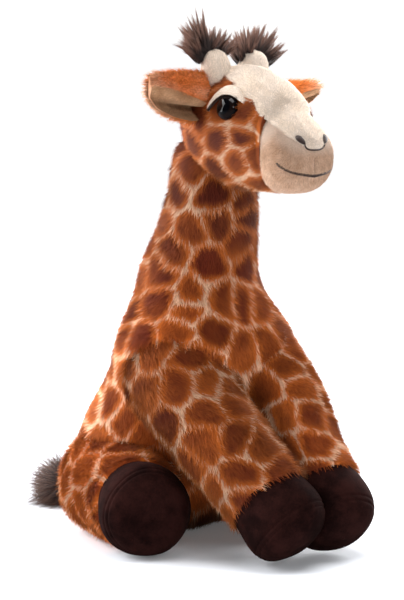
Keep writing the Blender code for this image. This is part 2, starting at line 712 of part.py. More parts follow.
def make_head(neck_clearance):
    """The head: plush cover, velour face panel and muzzle, filling, eyes, ears and horns."""
    rings = head_rings()
    crisp = (False, True)
    skull = form("head_shape", inside(rings, -GAP), None, HEAD, HEAD_SIDES, crisp=crisp)
    surface = surface_of(skull)
    ahead = -HEAD_LENGTH * 2
    wide = HEAD_HALF_WIDTH * 2
    front = box_cutter("muzzle_seam", (-wide, ahead, -wide), (wide, SEAM, wide), HEAD)
    hollow_rings = inside(rings, CLOTH)
    hollow_rings[-1][0].y -= OVERRUN
    hollow = form("head_hollow", hollow_rings, None, HEAD, HEAD_SIDES, soft=False)
    cover = form("head_cover", rings, "rust_plush", HEAD, HEAD_SIDES, crisp=crisp)
    panel = form("face_panel", rings, "cream_velour", HEAD, HEAD_SIDES, crisp=crisp)
    filling = form("head_filling", inside(rings, CLOTH + GAP), "fibre_filling", HEAD, HEAD_SIDES, soft=False)
    for shell in (cover, panel):
        cut(shell, hollow)
    for piece in (cover, panel, filling):
        cut(piece, front)
    outline = ((-PANEL_HALF_WIDTH, ahead, EYE_RADIUS), (PANEL_HALF_WIDTH, -PANEL_BACK, wide))
    cut(cover, box_cutter("panel_place", *outline, HEAD))
    low, high = (Vector(corner) for corner in outline)
    inset = Vector((GAP, -GAP, GAP))
    cut(panel, box_cutter("panel_outline", low + inset, high - Vector((GAP, GAP, 0)), HEAD), "INTERSECT")
    for piece in (cover, filling):
        cut(piece, neck_clearance)
    for side, sign in SIDE_SIGNS:
        hole, pocket = make_eye(side, sign, surface, skull)
        ear_room = make_ear(side, sign, surface)
        make_horn(side, sign, surface, skull)
        for piece in (cover, panel):
            cut(piece, hole)
        cut(filling, pocket)
        for piece in (cover, filling):
            cut(piece, ear_room)
    make_muzzle()


def make_giraffe():
    clearances = []
    for side, sign in SIDE_SIGNS:
        place = (sign * SHOULDER_SPREAD, -SHOULDER_FORWARD, SHOULDER_HEIGHT)
        shoulder = new_empty(f"{side}_shoulder", place, limb_frame(-sign * FRONT_LEG_TOE_IN, FRONT_LEG_DROP), SEAT)
        leg = (FRONT_LEG_RADIUS, FRONT_LEG_LENGTH, FRONT_TUBE_SHARES)
        swing = (-FRONT_LEG_TUCK, FRONT_LEG_RAISE)
        clearances.append(make_leg(f"{side}_front_leg", shoulder, leg, FRONT_HOOF_RADIUS, (-1, 0, 0), swing))
        press(side, sign)

        place = (sign * HIP_SPREAD, -HIP_FORWARD, HIP_HEIGHT)
        hip = new_empty(f"{side}_hip", place, limb_frame(sign * HIND_LEG_SPLAY, HIND_LEG_DROP), SEAT)
        leg = (HIND_LEG_RADIUS, HIND_LEG_LENGTH, HIND_TUBE_SHARES)
        swing = (-HIND_LEG_CLOSE, HIND_LEG_SPREAD)
        clearances.append(make_leg(f"{side}_hind_leg", hip, leg, HIND_HOOF_RADIUS, (0, 0, sign), swing))
    clearances.append(make_tail())
    make_body(clearances)
    neck = [(c, a * (1 + NECK_GAP / a.length), b * (1 + NECK_GAP / b.length)) for c, a, b in body_rings()]
    neck[-1][0].z += NECK_GAP
    make_head(form("neck_clearance", neck, None, SEAT, crisp=(True, True)))


clear_scene()
PARTS = new_collection("Plush giraffe")
CUTTERS = new_collection("Cutters")
CUTTERS.hide_render = True
MATERIALS = {name: new_material(name) for name in COLOURS}
SEAM = HEAD_BACK - HEAD_LENGTH * SEAM_SHARE
SEAT = new_empty("seat", (0, 0, 0))
HEAD = new_empty("neck_top", (0, -NECK_LEAN, BODY_HEIGHT + HEAD_LIFT), None, SEAT)
FLOOR = box_cutter("floor", (-BODY_HEIGHT, -BODY_HEIGHT, -OVERRUN), (BODY_HEIGHT, BODY_HEIGHT, 0))
make_giraffe()
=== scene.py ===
"""Plush giraffe: its looks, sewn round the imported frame, with the pile grown fibre by fibre."""

import math

import bpy
import numpy as np
from mathutils import Matrix, Vector
from mathutils.bvhtree import BVHTree
from mathutils.kdtree import KDTree


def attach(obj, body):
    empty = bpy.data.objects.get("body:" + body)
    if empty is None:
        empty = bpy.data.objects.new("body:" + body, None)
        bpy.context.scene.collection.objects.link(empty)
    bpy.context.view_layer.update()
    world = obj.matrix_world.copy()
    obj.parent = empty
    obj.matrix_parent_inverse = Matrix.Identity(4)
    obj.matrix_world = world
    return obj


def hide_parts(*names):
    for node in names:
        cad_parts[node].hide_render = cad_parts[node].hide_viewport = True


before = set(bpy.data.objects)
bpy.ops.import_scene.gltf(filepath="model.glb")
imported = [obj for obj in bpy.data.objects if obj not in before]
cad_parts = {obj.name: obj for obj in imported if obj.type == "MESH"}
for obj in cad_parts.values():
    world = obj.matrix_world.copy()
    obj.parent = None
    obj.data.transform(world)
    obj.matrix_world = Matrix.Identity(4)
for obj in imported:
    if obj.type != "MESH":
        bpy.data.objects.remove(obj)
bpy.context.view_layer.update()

MM = 0.001
SIDES = (("left", 1), ("right", -1))
LEGS = [(f"{side}_{which}", sign, which) for side, sign in SIDES for which in ("front", "hind")]
FLOOR_CLEAR = 0.0003  # nothing on the toy is lower than this

# -------- camera

TARGET = Vector((0.0136, -0.020, 0.150))
AZIMUTH, ELEVATION, DISTANCE = -40, 7, 1.5
FRAME_TALL = 0.390  # what the picture's height takes in at the target
FRAME_PIXELS = (404, 600)
SENSOR = 36


def camera_back():
    """The way from the target back to the camera."""
    a, e = math.radians(AZIMUTH), math.radians(ELEVATION)
    return Vector((math.sin(a) * math.cos(e), -math.cos(a) * math.cos(e), math.sin(e)))


CAMERA_TURN = camera_back().to_track_quat("Z", "Y").to_matrix()
EYE_POINT = TARGET + camera_back() * DISTANCE


def sight_line(pixel):
    """The direction from the camera through a pixel of the photograph's frame."""
    wide, tall = FRAME_PIXELS
    step = FRAME_TALL / tall
    across, rise = (pixel[0] - wide / 2) * step, (tall / 2 - pixel[1]) * step
    return (TARGET + CAMERA_TURN.col[0] * across + CAMERA_TURN.col[1] * rise - EYE_POINT).normalized()


def make_camera():
    data = bpy.data.cameras.new("camera")
    data.sensor_fit, data.sensor_width = "AUTO", SENSOR
    data.lens = SENSOR * DISTANCE / FRAME_TALL
    data.clip_start, data.clip_end = 0.05, 30
    camera = placed("camera", data)
    camera.matrix_world = Matrix.Translation(EYE_POINT) @ CAMERA_TURN.to_4x4()
    bpy.context.scene.camera = camera


# -------- numbers that vary over a surface


def unit(v):
    return v / np.maximum(np.linalg.norm(v, axis=-1, keepdims=True), 1e-9)


def fade(values, start, over):
    """From 0 at start to 1 at start + over, and flat beyond either."""
    return np.clip((values - start) / over, 0, 1)


def brushed(*way):
    """The flow of a pile that lies one way all over."""
    return lambda points: np.tile(way, (len(points), 1))


def waves(points, size, seed, count=7):
    """Smooth noise from -1 to 1 over points, with lumps of about this size."""
    draw = np.random.default_rng(seed)
    ways = unit(draw.normal(size=(count, 3))) * draw.uniform(0.7, 1.5, (count, 1)) * math.tau / size / 2
    lags = draw.uniform(0, math.tau, count)
    return np.sin(points @ ways.T + lags).sum(axis=1) / math.sqrt(count) / 1.2


def wave_vectors(points, size, seed):
    return np.stack([waves(points, size, seed + k) for k in range(3)], axis=1)


def spline(rows, steps):
    """Rows along a uniform cubic B-spline, which starts on the first row and ends on the last."""
    rows = np.array(rows, float)
    rows = np.vstack([rows[:1]] * 2 + [rows] + [rows[-1:]] * 2)
    spans = len(rows) - 3
    t = np.linspace(0, spans - 1e-9, steps)
    i = t.astype(int)
    f = (t - i)[:, None]
    a, b, c, d = (rows[i + k] for k in range(4))
    return ((1 - f) ** 3 * a + (3 * f**3 - 6 * f**2 + 4) * b + (-3 * f**3 + 3 * f**2 + 3 * f + 1) * c + f**3 * d) / 6


def along_rows(grid, reach):
    """Each column of a grid evened out over this many rows either way."""
    kernel = np.hanning(2 * reach + 3)[1:-1]
    return np.stack([np.convolve(np.pad(line, reach, "edge"), kernel / kernel.sum(), "valid") for line in grid.T], 1)


# -------- meshes


def mesh_of(name, points, *face_sets):
    """A smooth mesh from points and arrays of faces."""
    mesh = bpy.data.meshes.new(name)
    mesh.vertices.add(len(points))
    mesh.vertices.foreach_set("co", np.asarray(points, np.float32).ravel())
    face_sets = [f for f in face_sets if len(f)]
    corners = np.concatenate([f.ravel() for f in face_sets]).astype(np.int32)
    sizes = np.concatenate([np.full(len(f), f.shape[1]) for f in face_sets])
    mesh.loops.add(len(corners))
    mesh.loops.foreach_set("vertex_index", corners)
    mesh.polygons.add(len(sizes))
    mesh.polygons.foreach_set("loop_start", (np.cumsum(sizes) - sizes).astype(np.int32))
    mesh.update(calc_edges=True)
    mesh.shade_smooth()
    return mesh


def placed(name, data):
    obj = bpy.data.objects.new(name, data)
    bpy.context.scene.collection.objects.link(obj)
    return obj


def value_on(mesh, name, values):
    mesh.attributes.new(name, "FLOAT", "POINT").data.foreach_set("value", np.asarray(values, np.float32))


def piece(name, form, body, look, replaced=(), padded=None, **values):
    """One piece of the toy, from a skin or a mesh, riding on a body, in a finish named as the record's slot is."""
    mesh = form.mesh(name) if isinstance(form, Skin) else form
    for kind, numbers in values.items():
        value_on(mesh, kind, numbers)
    obj = placed(name, mesh)
    mesh.materials.append(LOOKS[look])
    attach(obj, body)
    if replaced:
        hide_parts(*replaced)
    return obj


class Skin:
    """A sewn cover as a grid of points: rows run along the form, columns go round it."""

    def __init__(self, grid, closed=(True, True), around=True, out=None):
        rows, columns = grid.shape[:2]
        self.points = grid.reshape(-1, 3)
        index = np.arange(rows * columns).reshape(rows, columns)
        after = np.roll(index, -1, 1)
        quads = np.stack([index[:-1], after[:-1], after[1:], index[1:]], 2)
        self.quads = quads[:, : columns if around else -1].reshape(-1, 4)
        caps = [np.zeros((0, 3), int)]
        for shut, row in zip(closed, (0, -1)):
            if shut:
                pole = np.full(columns, len(self.points))
                self.points = np.vstack([self.points, self.points[index[row]].mean(0)])
                caps.append(np.stack([after[row], index[row], pole], 1)[:, :: 1 if row == 0 else -1])
        self.caps = np.vstack(caps)
        self.tris = np.vstack([self.quads[:, [0, 1, 2]], self.quads[:, [0, 2, 3]], self.caps])
        self.settle()
        if self.faces_wrong_way(out):
            self.quads, self.caps, self.tris = self.quads[:, ::-1], self.caps[:, ::-1], self.tris[:, ::-1]
            self.settle()

    def faces_wrong_way(self, out):
        """Whether the faces point into a closed form, or away from where an open one should face."""
        if out is not None:
            return self.normals.mean(0) @ np.array(out) < 0
        return np.linalg.det(self.points[self.tris]).sum() < 0

    def settle(self):
        """Works out the normals again after the points have moved."""
        a, b, c = (self.points[self.tris[:, k]] for k in range(3))
        across = np.cross(b - a, c - a)
        self.areas = np.linalg.norm(across, axis=1) / 2
        self.normals = np.zeros_like(self.points)
        for k in range(3):
            np.add.at(self.normals, self.tris[:, k], across)
        self.normals = unit(self.normals)
        self.tree = BVHTree.FromPolygons(self.points.tolist(), self.tris.tolist())

    def swell(self, by):
        self.points = self.points + self.normals * np.asarray(by)[:, None]
        self.settle()

    def keep_off_floor(self):
        self.points[:, 2] = np.maximum(self.points[:, 2], FLOOR_CLEAR)
        self.settle()

    def mesh(self, name):
        return mesh_of(name, self.points, self.quads, self.caps)

    def scatter(self, count, draw):
        """Even random places on the skin, and the normal at each."""
        share = np.cumsum(self.areas)
        picks = (np.arange(count) + draw.random(count)) / count * share[-1]
        face = self.tris[np.searchsorted(share, picks).clip(max=len(self.tris) - 1)]
        u, v = draw.random((2, count, 1))
        over = u + v > 1
        u, v = np.where(over, 1 - u, u), np.where(over, 1 - v, v)
        places, normals = (
            held[face[:, 0]] * (1 - u - v) + held[face[:, 1]] * u + held[face[:, 2]] * v
            for held in (self.points, self.normals)
        )
        return places, unit(normals)

    def depth(self, points):
        """How far each point is inside the skin: negative outside it."""
        found = np.full(len(points), -1.0)
        low, high = self.points.min(0) - 0.002, self.points.max(0) + 0.002
        for i in np.flatnonzero(((points > low) & (points < high)).all(1)):
            place, normal, _, _ = self.tree.find_nearest(Vector(points[i]))
            found[i] = (place - Vector(points[i])).dot(normal)
        return found

    def seen(self, pixel):
        """Where the line of sight through a pixel meets this skin, and how far off."""
        place, normal, _, far = self.tree.ray_cast(EYE_POINT, sight_line(pixel))
        return place, normal, far


def first_seen(skins, pixel):
    """The place and the normal where the line of sight through a pixel first meets one of these skins."""
    hits = [hit for hit in (skin.seen(pixel) for skin in skins) if hit[0] is not None]
    return min(hits, key=lambda hit: hit[2])[:2]


def mirrored_seen(skin, pixel, sign):
    """Where a pixel of the near side falls on a skin, or the same place on the far side."""
    place, normal, _ = skin.seen(pixel)
    flip = Vector((-sign, 1, 1))
    return place * flip, normal * flip


def squared(share, power):
    """A sine or cosine, drawn outwards so that its round becomes a little square."""
    return np.sign(share) * np.abs(share) ** power


def loft(rings, steps, sides, turn=None, place=(0, 0, 0), square=1.0):
    """The smooth grid through rings, each a centre and two half axes. Square is 1 for an oval, less for a box."""
    rows = spline([np.concatenate([np.array(part, float) for part in ring]) for ring in rings], steps)
    centre, wide, deep = rows[:, None, :3], rows[:, None, 3:6], rows[:, None, 6:]
    turns = np.linspace(0, math.tau, sides, endpoint=False)[None, :, None]
    shares = np.linspace(0, 1, np.size(square))
    power = np.interp(np.linspace(0, 1, steps), shares, np.atleast_1d(square))[:, None, None]
    grid = centre + wide * squared(np.cos(turns), power) + deep * squared(np.sin(turns), power)
    if turn is not None:
        grid = grid @ np.array(turn.to_3x3()).T
    return grid + np.array(place)


THREAD_SIDES = 10


def stitch(name, points, radius, taper, starts=(0, 0), low=0.0, rise=0.0, replaced=()):
    """A thread through points, thinner towards both ends over this many of them."""
    points = np.asarray(points, float)
    steps = np.arange(len(points))
    radii = radius * np.clip(np.minimum(steps + starts[0], steps[::-1] + starts[1]) / taper + rise, low, 1)
    ahead = unit(np.gradient(points, axis=0))
    side = unit(np.cross(ahead, ahead[len(ahead) // 2] + np.array((0.3, 0.5, 0.8))))
    turns = np.linspace(0, math.tau, THREAD_SIDES, endpoint=False)[None, :, None]
    ring = side[:, None] * np.cos(turns) + np.cross(side, ahead)[:, None] * np.sin(turns)
    piece(name, Skin(points[:, None] + ring * radii[:, None, None]), "head", "thread", replaced)


# -------- finishes


def colour(r, g, b):
    """A display colour, 0 to 255, as the renderer's linear one."""
    return tuple((c / 255 / 12.92 if c <= 10 else ((c / 255 + 0.055) / 1.055) ** 2.4) for c in (r, g, b)) + (1.0,)


class Nodes:
    """Adds nodes to a tree and links them, a line for each node."""

    def __init__(self, tree):
        self.tree = tree

    def feed(self, socket, value):
        if isinstance(value, bpy.types.NodeSocket):
            self.tree.links.new(value, socket)
        else:
            socket.default_value = value

    def add(self, kind, values=(), **settings):
        node = self.tree.nodes.new(kind if kind.startswith("Node") else f"ShaderNode{kind}")
        for key, value in settings.items():
            setattr(node, key, value)
        for key, value in dict(values).items():
            self.feed(node.inputs[key], value)
        return node

    def math(self, operation, a, b=0.0, clamp=False):
        return self.add("Math", {0: a, 1: b}, operation=operation, use_clamp=clamp).outputs[0]

    def mix(self, share, a, b):
        return self.add("Mix", {0: share, 6: a, 7: b}, data_type="RGBA").outputs[2]

    def scale(self, vector, by):
        return self.add("VectorMath", {0: vector, "Scale": by}, operation="SCALE").outputs[0]

    def about(self, value, by):
        """What lies from -0.5 to 0.5 round a value's middle, times this."""
        return self.math("MULTIPLY", self.math("SUBTRACT", value, 0.5), by)

    def ramp(self, value, low, high, out_low=0.0, out_high=1.0):
        sockets = {"Value": value, 1: low, 2: high, 3: out_low, 4: out_high}
        return self.add("MapRange", sockets, interpolation_type="SMOOTHSTEP").outputs[0]

    def noise(self, scale, detail=2.0, rough=0.5, where=None):
        where = where or self.add("TexCoord").outputs["Object"]
        sockets = {"Vector": where, "Scale": scale, "Detail": detail, "Roughness": rough}
        return self.add("TexNoise", sockets).outputs[0]

    def attribute(self, name):
        return self.add("Attribute", attribute_name=name).outputs["Fac"]

    def bump(self, height, distance):
        return self.add("Bump", {"Strength": 0.5, "Distance": distance, "Height": height}).outputs[0]

    def group(self, group, **values):
        return self.add("Group", values, node_tree=group).outputs

    def surface(self, **sockets):
        """Sets the finish's own sockets, each named with _ for a space."""
        for key, value in sockets.items():
            self.feed(self.tree.nodes["Principled BSDF"].inputs[key.replace("_", " ")], value)


def shade_group(name, inputs, outputs):
    """A node group with its sockets, which are colours where no number is given, and what fills it."""
    group = bpy.data.node_groups.new(name, "ShaderNodeTree")
    for way, sockets in (("INPUT", inputs), ("OUTPUT", outputs)):
        for socket, value in sockets.items():
            kind = "NodeSocketColor" if value is None else "NodeSocketFloat"
            made = group.interface.new_socket(socket, in_out=way, socket_type=kind)
            if value is not None and way == "INPUT":
                made.default_value = value
    n = Nodes(group)
    return group, n, n.add("NodeGroupInput").outputs, n.add("NodeGroupOutput").inputs


def make_fibre_shade_group():
    """How light a fibre is: dark at the root and paler at the tip, which paints the shade deep in the pile, and no two
    the same.
    """
    inputs = {"Colour": None, "Root": 0.55, "Spread": 0.2}
    group, n, enter, leave = shade_group("fibre_shade", inputs, {"Colour": None})
    light, root = n.ramp(n.attribute("along"), 0.0, 0.9), enter["Root"]
    depth = n.math("ADD", root, n.math("MULTIPLY", light, n.math("SUBTRACT", 1.12, root)))
    vary = n.math("ADD", 1.0, n.about(n.attribute("tone"), enter["Spread"]))
    n.feed(leave["Colour"], n.scale(enter["Colour"], n.math("MULTIPLY", depth, vary)))
    return group


def make_patch_group():
    """The coat's colour from how far inside a patch a place is."""
    inputs = {"Patch": 0.0, "Line": None, "Edge": None, "Middle": None}
    group, n, enter, leave = shade_group("giraffe_patches", inputs, {"Colour": None})
    rim = n.mix(n.ramp(enter["Patch"], -0.2, 1.3), enter["Line"], enter["Edge"])
    depth = n.math("MULTIPLY", n.ramp(enter["Patch"], 0.8, 5.4), n.attribute("deep"))
    n.feed(leave["Colour"], n.scale(n.mix(depth, rim, enter["Middle"]), n.attribute("dye")))
    return group


def make_grain_group():
    """The fine uneven height and shade of a shorn or brushed cloth."""
    group, n, enter, leave = shade_group("cloth_grain", {"Scale": 1.0, "Nap": 0.5}, {"Height": 0.0, "Shade": 0.0})
    where = n.scale(n.add("TexCoord").outputs["Object"], enter["Scale"])
    fine, coarse, broad = (n.noise(*how, where) for how in ((900.0, 3.0, 0.6), (170.0, 2.0, 0.5), (45.0, 2.0, 0.5)))
    height = n.math("ADD", n.math("MULTIPLY", fine, 0.6), n.math("MULTIPLY", coarse, enter["Nap"]))
    shade = n.math("ADD", n.about(broad, enter["Nap"]), 0.5)
    mottle = n.math("ADD", shade, n.about(coarse, 0.7))
    n.feed(leave["Height"], height)
    n.feed(leave["Shade"], n.math("ADD", mottle, n.about(fine, 0.4), True))
    return group


FIBRE_SHADE = make_fibre_shade_group()
PATCHES = make_patch_group()
GRAIN = make_grain_group()

CREAM = colour(239, 222, 207)
COAT = {"Line": colour(236, 192, 158), "Edge": colour(200, 104, 38), "Middle": colour(106, 36, 10)}
LOOKS = {}


def new_look(key, slot, name=None):
    """A new finish for a slot of the record, and what adds its nodes."""
    made = bpy.data.materials.new(name or slot)
    made.use_nodes = True
    made["slot"] = slot
    LOOKS[key] = made
    return Nodes(made.node_tree)


def plush(key, name, root, spread, sheen):
    """The patched pile, or the backing cloth that it grows from."""
    n = new_look(key, "rust_plush", name)
    patched = n.group(PATCHES, Patch=n.attribute("patch"), **COAT)[0]
    shaded = n.group(FIBRE_SHADE, Colour=patched, Root=root, Spread=spread)[0]
    n.surface(Base_Color=shaded, Roughness=0.72, Specular_IOR_Level=0.15)
    n.surface(Sheen_Weight=sheen, Sheen_Roughness=0.5, Sheen_Tint=colour(255, 190, 130))


def velour(key, slot, pale, deep, sheen=0.12, scale=1.0, nap=0.5, height=0.0003, name=None):
    """A short napped cloth: velour or suede."""
    n = new_look(key, slot, name)
    grain = n.group(GRAIN, Scale=scale, Nap=nap)
    shade = n.mix(n.ramp(grain["Shade"], 0.25, 0.8), deep, pale)
    # Painted shade: the cloth between the nap's fibres, and each fibre's root, are darker.
    shade = n.group(FIBRE_SHADE, Colour=shade, Root=0.78, Spread=0.42)[0]
    n.surface(Base_Color=shade, Roughness=0.85, Specular_IOR_Level=0.1)
    n.surface(Normal=n.bump(grain["Height"], height), Sheen_Weight=sheen, Sheen_Roughness=0.45)
    return n, shade


def make_looks():
    plush("coat", "rust_plush", 0.66, 0.30, 0.14)
    plush("backing", "plush_backing", 0.80, 0.0, 0.05)
    n = new_look("long_pile", "long_pile")
    tips = n.mix(n.ramp(n.attribute("along"), 0.35, 1.0), colour(40, 25, 21), colour(116, 82, 68))
    shaded = n.group(FIBRE_SHADE, Colour=n.scale(tips, n.attribute("dye")), Root=0.7, Spread=0.8)[0]
    n.surface(Base_Color=shaded, Roughness=0.6, Specular_IOR_Level=0.35)
    n.surface(Sheen_Weight=0.04, Sheen_Roughness=0.4, Sheen_Tint=colour(200, 170, 150))
    velour("cream", "cream_velour", CREAM, colour(232, 212, 192))
    n, shade = velour("beige", "beige_velour", colour(206, 171, 145), colour(178, 140, 112))
    n.surface(Base_Color=n.mix(n.attribute("pale"), shade, CREAM))
    velour("ear_beige", "beige_velour", colour(216, 168, 128), colour(186, 138, 100), 0.08, name="ear_beige_velour")
    n, _ = velour("suede", "brown_suede", colour(50, 25, 22), colour(25, 10, 9), 0.03, 0.8, 0.9, 0.0004)
    n.surface(Specular_IOR_Level=0.02, Sheen_Tint=colour(190, 120, 105))
    n = new_look("thread", "brown_thread")
    twist = n.add("TexWave", {"Vector": n.add("TexCoord").outputs["Object"], "Scale": 500.0, "Distortion": 1.0})
    shade = n.mix(twist.outputs[1], colour(58, 34, 26), colour(28, 16, 14))
    n.surface(Base_Color=shade, Roughness=0.55, Normal=n.bump(twist.outputs[1], 0.0002))
    n = new_look("gloss", "black_gloss")
    out = n.attribute("out")
    iris = n.math("MULTIPLY", n.ramp(out, 0.60, 0.70), n.ramp(out, 0.99, 0.88))
    n.surface(Base_Color=n.mix(iris, colour(4, 4, 6), colour(17, 10, 9)), Roughness=0.06, Specular_IOR_Level=0.16)
    for key, slot, scale, detail, dark, pale, rough in (
        ("filling", "fibre_filling", 240.0, 4.0, (226, 222, 214), (250, 248, 244), 0.95),
        ("pellet_bag", "pellet_cloth", 600.0, 2.0, (206, 200, 186), (226, 222, 210), 0.9),
        ("washer", "clear_plastic", 120.0, 1.0, (214, 220, 224), (236, 240, 242), 0.25),
    ):
        n = new_look(key, slot)
        n.surface(Base_Color=n.mix(n.noise(scale, detail), colour(*dark), colour(*pale)), Roughness=rough)


make_looks()

# -------- pile

FIBRE_CORNERS = 3
PATCH_VALUES = ("patch", "dye", "deep")  # how far inside a patch, the strength of its colour with painted light and shade in it, and its depth of colour
CELL_BITS = 10  # the map's order of fibres comes from a grid of two to this power each way
CLUMP_SPACE = 0.0036  # how far apart the pile's little clumps are
WHORL_SIZE, WHORL, STRAY = 0.016, 0.30, 0.16  # how the brushed way turns over the coat, and from fibre to fibre
LIFTS = {"spread": 9, "wave": 8, "least": 12, "most": 80}  # degrees that a fibre stands up from the cloth
LENGTHS = (0.72, 1.15)  # a fibre's length, against the pile's own
SHOWN_AT = 0.30  # the share along a fibre whose place gives its colour
BURIED = 0.008  # pile this deep inside another cover isn't grown
NAP_DENSITY = 5.5


def cells(roots):
    """Where each fibre's own cell is on the colour map: neighbours on the toy are neighbours on the map."""
    low, high = roots.min(0), roots.max(0)
    steps = ((roots - low) / np.maximum(high - low, 1e-6) * (2**CELL_BITS - 1)).astype(np.int64)
    key = np.zeros(len(roots), np.int64)
    for bit in range(CELL_BITS):
        for axis in range(3):
            key |= ((steps[:, axis] >> bit) & 1) << (3 * bit + axis)
    rank = np.empty(len(roots), np.int64)
    rank[np.argsort(key)] = np.arange(len(roots))
    across = math.ceil(math.sqrt(len(roots)))
    return np.stack([rank % across, rank // across], 1) / across, 1 / across


def fibres(name, roots, ways, skin_normals, lengths, width, body, look, segments=1, droop=0.0, values=(), **kept):
    """A piece of closed tapered fibres. Each has three sides; one with two segments bends."""
    side = unit(np.cross(ways, skin_normals) + 1e-9)
    rise = unit(np.cross(ways, side))
    rows, normals = [], []
    shares = np.linspace(0, 1, segments + 1)
    for share in shares[:-1]:
        spot = roots + ways * (lengths * share)[:, None] + droop * share**2
        for turn in range(FIBRE_CORNERS):
            a = math.tau * turn / FIBRE_CORNERS + math.pi / 2
            out = side * math.cos(a) + rise * math.sin(a)
            rows.append(spot + out * (width * (1 - 0.25 * share) / 2))
            normals.append(unit(skin_normals + out * 0.55))
    rows.append(roots + ways * lengths[:, None] + droop)
    normals.append(unit(skin_normals + ways * 0.3))
    per = len(rows)
    points = np.stack(rows, 1).reshape(-1, 3)
    points[:, 2] = np.maximum(points[:, 2], FLOOR_CLEAR)
    last = per - 1 - FIBRE_CORNERS
    around = [(k, (k + 1) % FIBRE_CORNERS) for k in range(FIBRE_CORNERS)]
    tris = [(0, 2, 1)] + [(last + k, last + j, per - 1) for k, j in around]
    quads = [
        (low + k, low + j, low + j + FIBRE_CORNERS, low + k + FIBRE_CORNERS)
        for low in range(0, last, FIBRE_CORNERS)
        for k, j in around
    ]
    start = (np.arange(len(roots)) * per)[:, None, None]
    tris = (start + np.array(tris)).reshape(-1, 3)
    quads = (start + np.array(quads, int).reshape(-1, 4)).reshape(-1, 4)
    mesh = mesh_of(name, points, tris, quads)
    tones = np.random.default_rng(len(roots)).random(len(roots))
    for kind, numbers in dict(values, tone=tones).items():
        value_on(mesh, kind, np.repeat(numbers, per))
    along = np.concatenate([np.repeat(shares[:-1], FIBRE_CORNERS), [1.0]])
    value_on(mesh, "along", np.tile(along, len(roots)))
    corner, cell = cells(roots)
    uv = [(0.1 + 0.7 * (i % FIBRE_CORNERS) / 2, 0.1 + 0.8 * along[i]) for i in range(per - 1)] + [(0.45, 0.92)]
    uv = (corner[:, None] + np.array(uv)[None] * cell).reshape(-1, 2)
    looped = np.empty(len(mesh.loops), np.int32)
    mesh.loops.foreach_get("vertex_index", looped)
    mesh.uv_layers.new(name="OFBake").data.foreach_set("uv", uv[looped].astype(np.float32).ravel())
    mesh.normals_split_custom_set_from_vertices(np.stack(normals, 1).reshape(-1, 3).astype(np.float32))
    return piece(name, mesh, body, look, **kept)


def pile(
    name, skin, body, density, length, flow, seeds=None, lift=28, width=0.55, clump=0.45,
    keep=None, look="coat", others=(), seed=1, grow=None,
):
    """Short pile over a skin, with density in fibres for each square millimetre, and brushed as flow says."""
    draw = np.random.default_rng(seed)
    roots, normals = skin.scatter(int(skin.areas.sum() * 1e6 * density), draw)
    held = roots[:, 2] > FLOOR_CLEAR
    if keep is not None:
        held &= keep(roots)
    roots, normals = roots[held], normals[held]
    for other in others:
        out = other.depth(roots) < BURIED
        roots, normals = roots[out], normals[out]
    count = len(roots)
    flat = lambda v: v - normals * (v * normals).sum(1, keepdims=True)
    flow = unit(flat(flow(roots)))
    flow = unit(flow + wave_vectors(roots, WHORL_SIZE, seed + 5) * WHORL + draw.normal(size=(count, 3)) * STRAY)
    flow = unit(flat(flow))
    lifts = draw.normal(lift, LIFTS["spread"], count) + waves(roots, 0.02, seed + 9) * LIFTS["wave"]
    tilt = np.radians(np.clip(lifts, LIFTS["least"], LIFTS["most"]))[:, None]
    ways = unit(flow * np.cos(tilt) + normals * np.sin(tilt))
    lengths = length * draw.uniform(*LENGTHS, count) * (1 + 0.12 * waves(roots, 0.012, seed + 3))
    if grow is not None:
        lengths = lengths * grow(roots)
    clumps = max(count // max(int(CLUMP_SPACE**2 * 1e6 * density), 2), 1)
    middles = roots[draw.choice(count, clumps, replace=False)]
    tree = KDTree(len(middles))
    for i, middle in enumerate(middles):
        tree.insert(middle, i)
    tree.balance()
    near = np.array([tree.find(root)[1] for root in roots])
    draws = clump * draw.uniform(0.4, 1.0, (count, 1))
    ways = unit(ways * lengths[:, None] + flat(middles[near] - roots) * draws)
    values = {}
    if seeds is not None:
        shown = roots + ways * (lengths * SHOWN_AT)[:, None] + draw.normal(size=(count, 3)) * 0.0005
        values = dict(zip(PATCH_VALUES, seeds.patch(shown)))
    return fibres(name, roots, ways, normals, lengths, width * MM, body, look, values=values)


def nap(name, skin, body, look, flow, length=0.0011, pale=None, keep=None):
    """The short dense nap of a velour."""
    how = {"lift": 38, "width": 0.28, "clump": 0.16, "seed": len(name)}
    made = pile(name, skin, body, NAP_DENSITY, length, brushed(*flow), look=look, keep=keep, **how)
    if pale is not None:
        points = np.empty(len(made.data.vertices) * 3, np.float32)
        made.data.vertices.foreach_get("co", points)
        value_on(made.data, "pale", pale(points.reshape(-1, 3)))


# -------- patches

PATCH_SPACE = 0.0190
PATCH_ROUND = 0.0013  # how round a patch's corners are
PATCH_DYES, PATCH_DEEPS = (0.84, 1.12), (0.38, 0.90)  # how patches differ
TRIED = 6000  # places tried for a patch where the photograph gives none
BEND, WOBBLE = (0.014, 0.0015), (0.005, 0.0004)  # the size and the strength of the waves in the pale lines
AT_ONCE = 4000  # how many places are looked up together


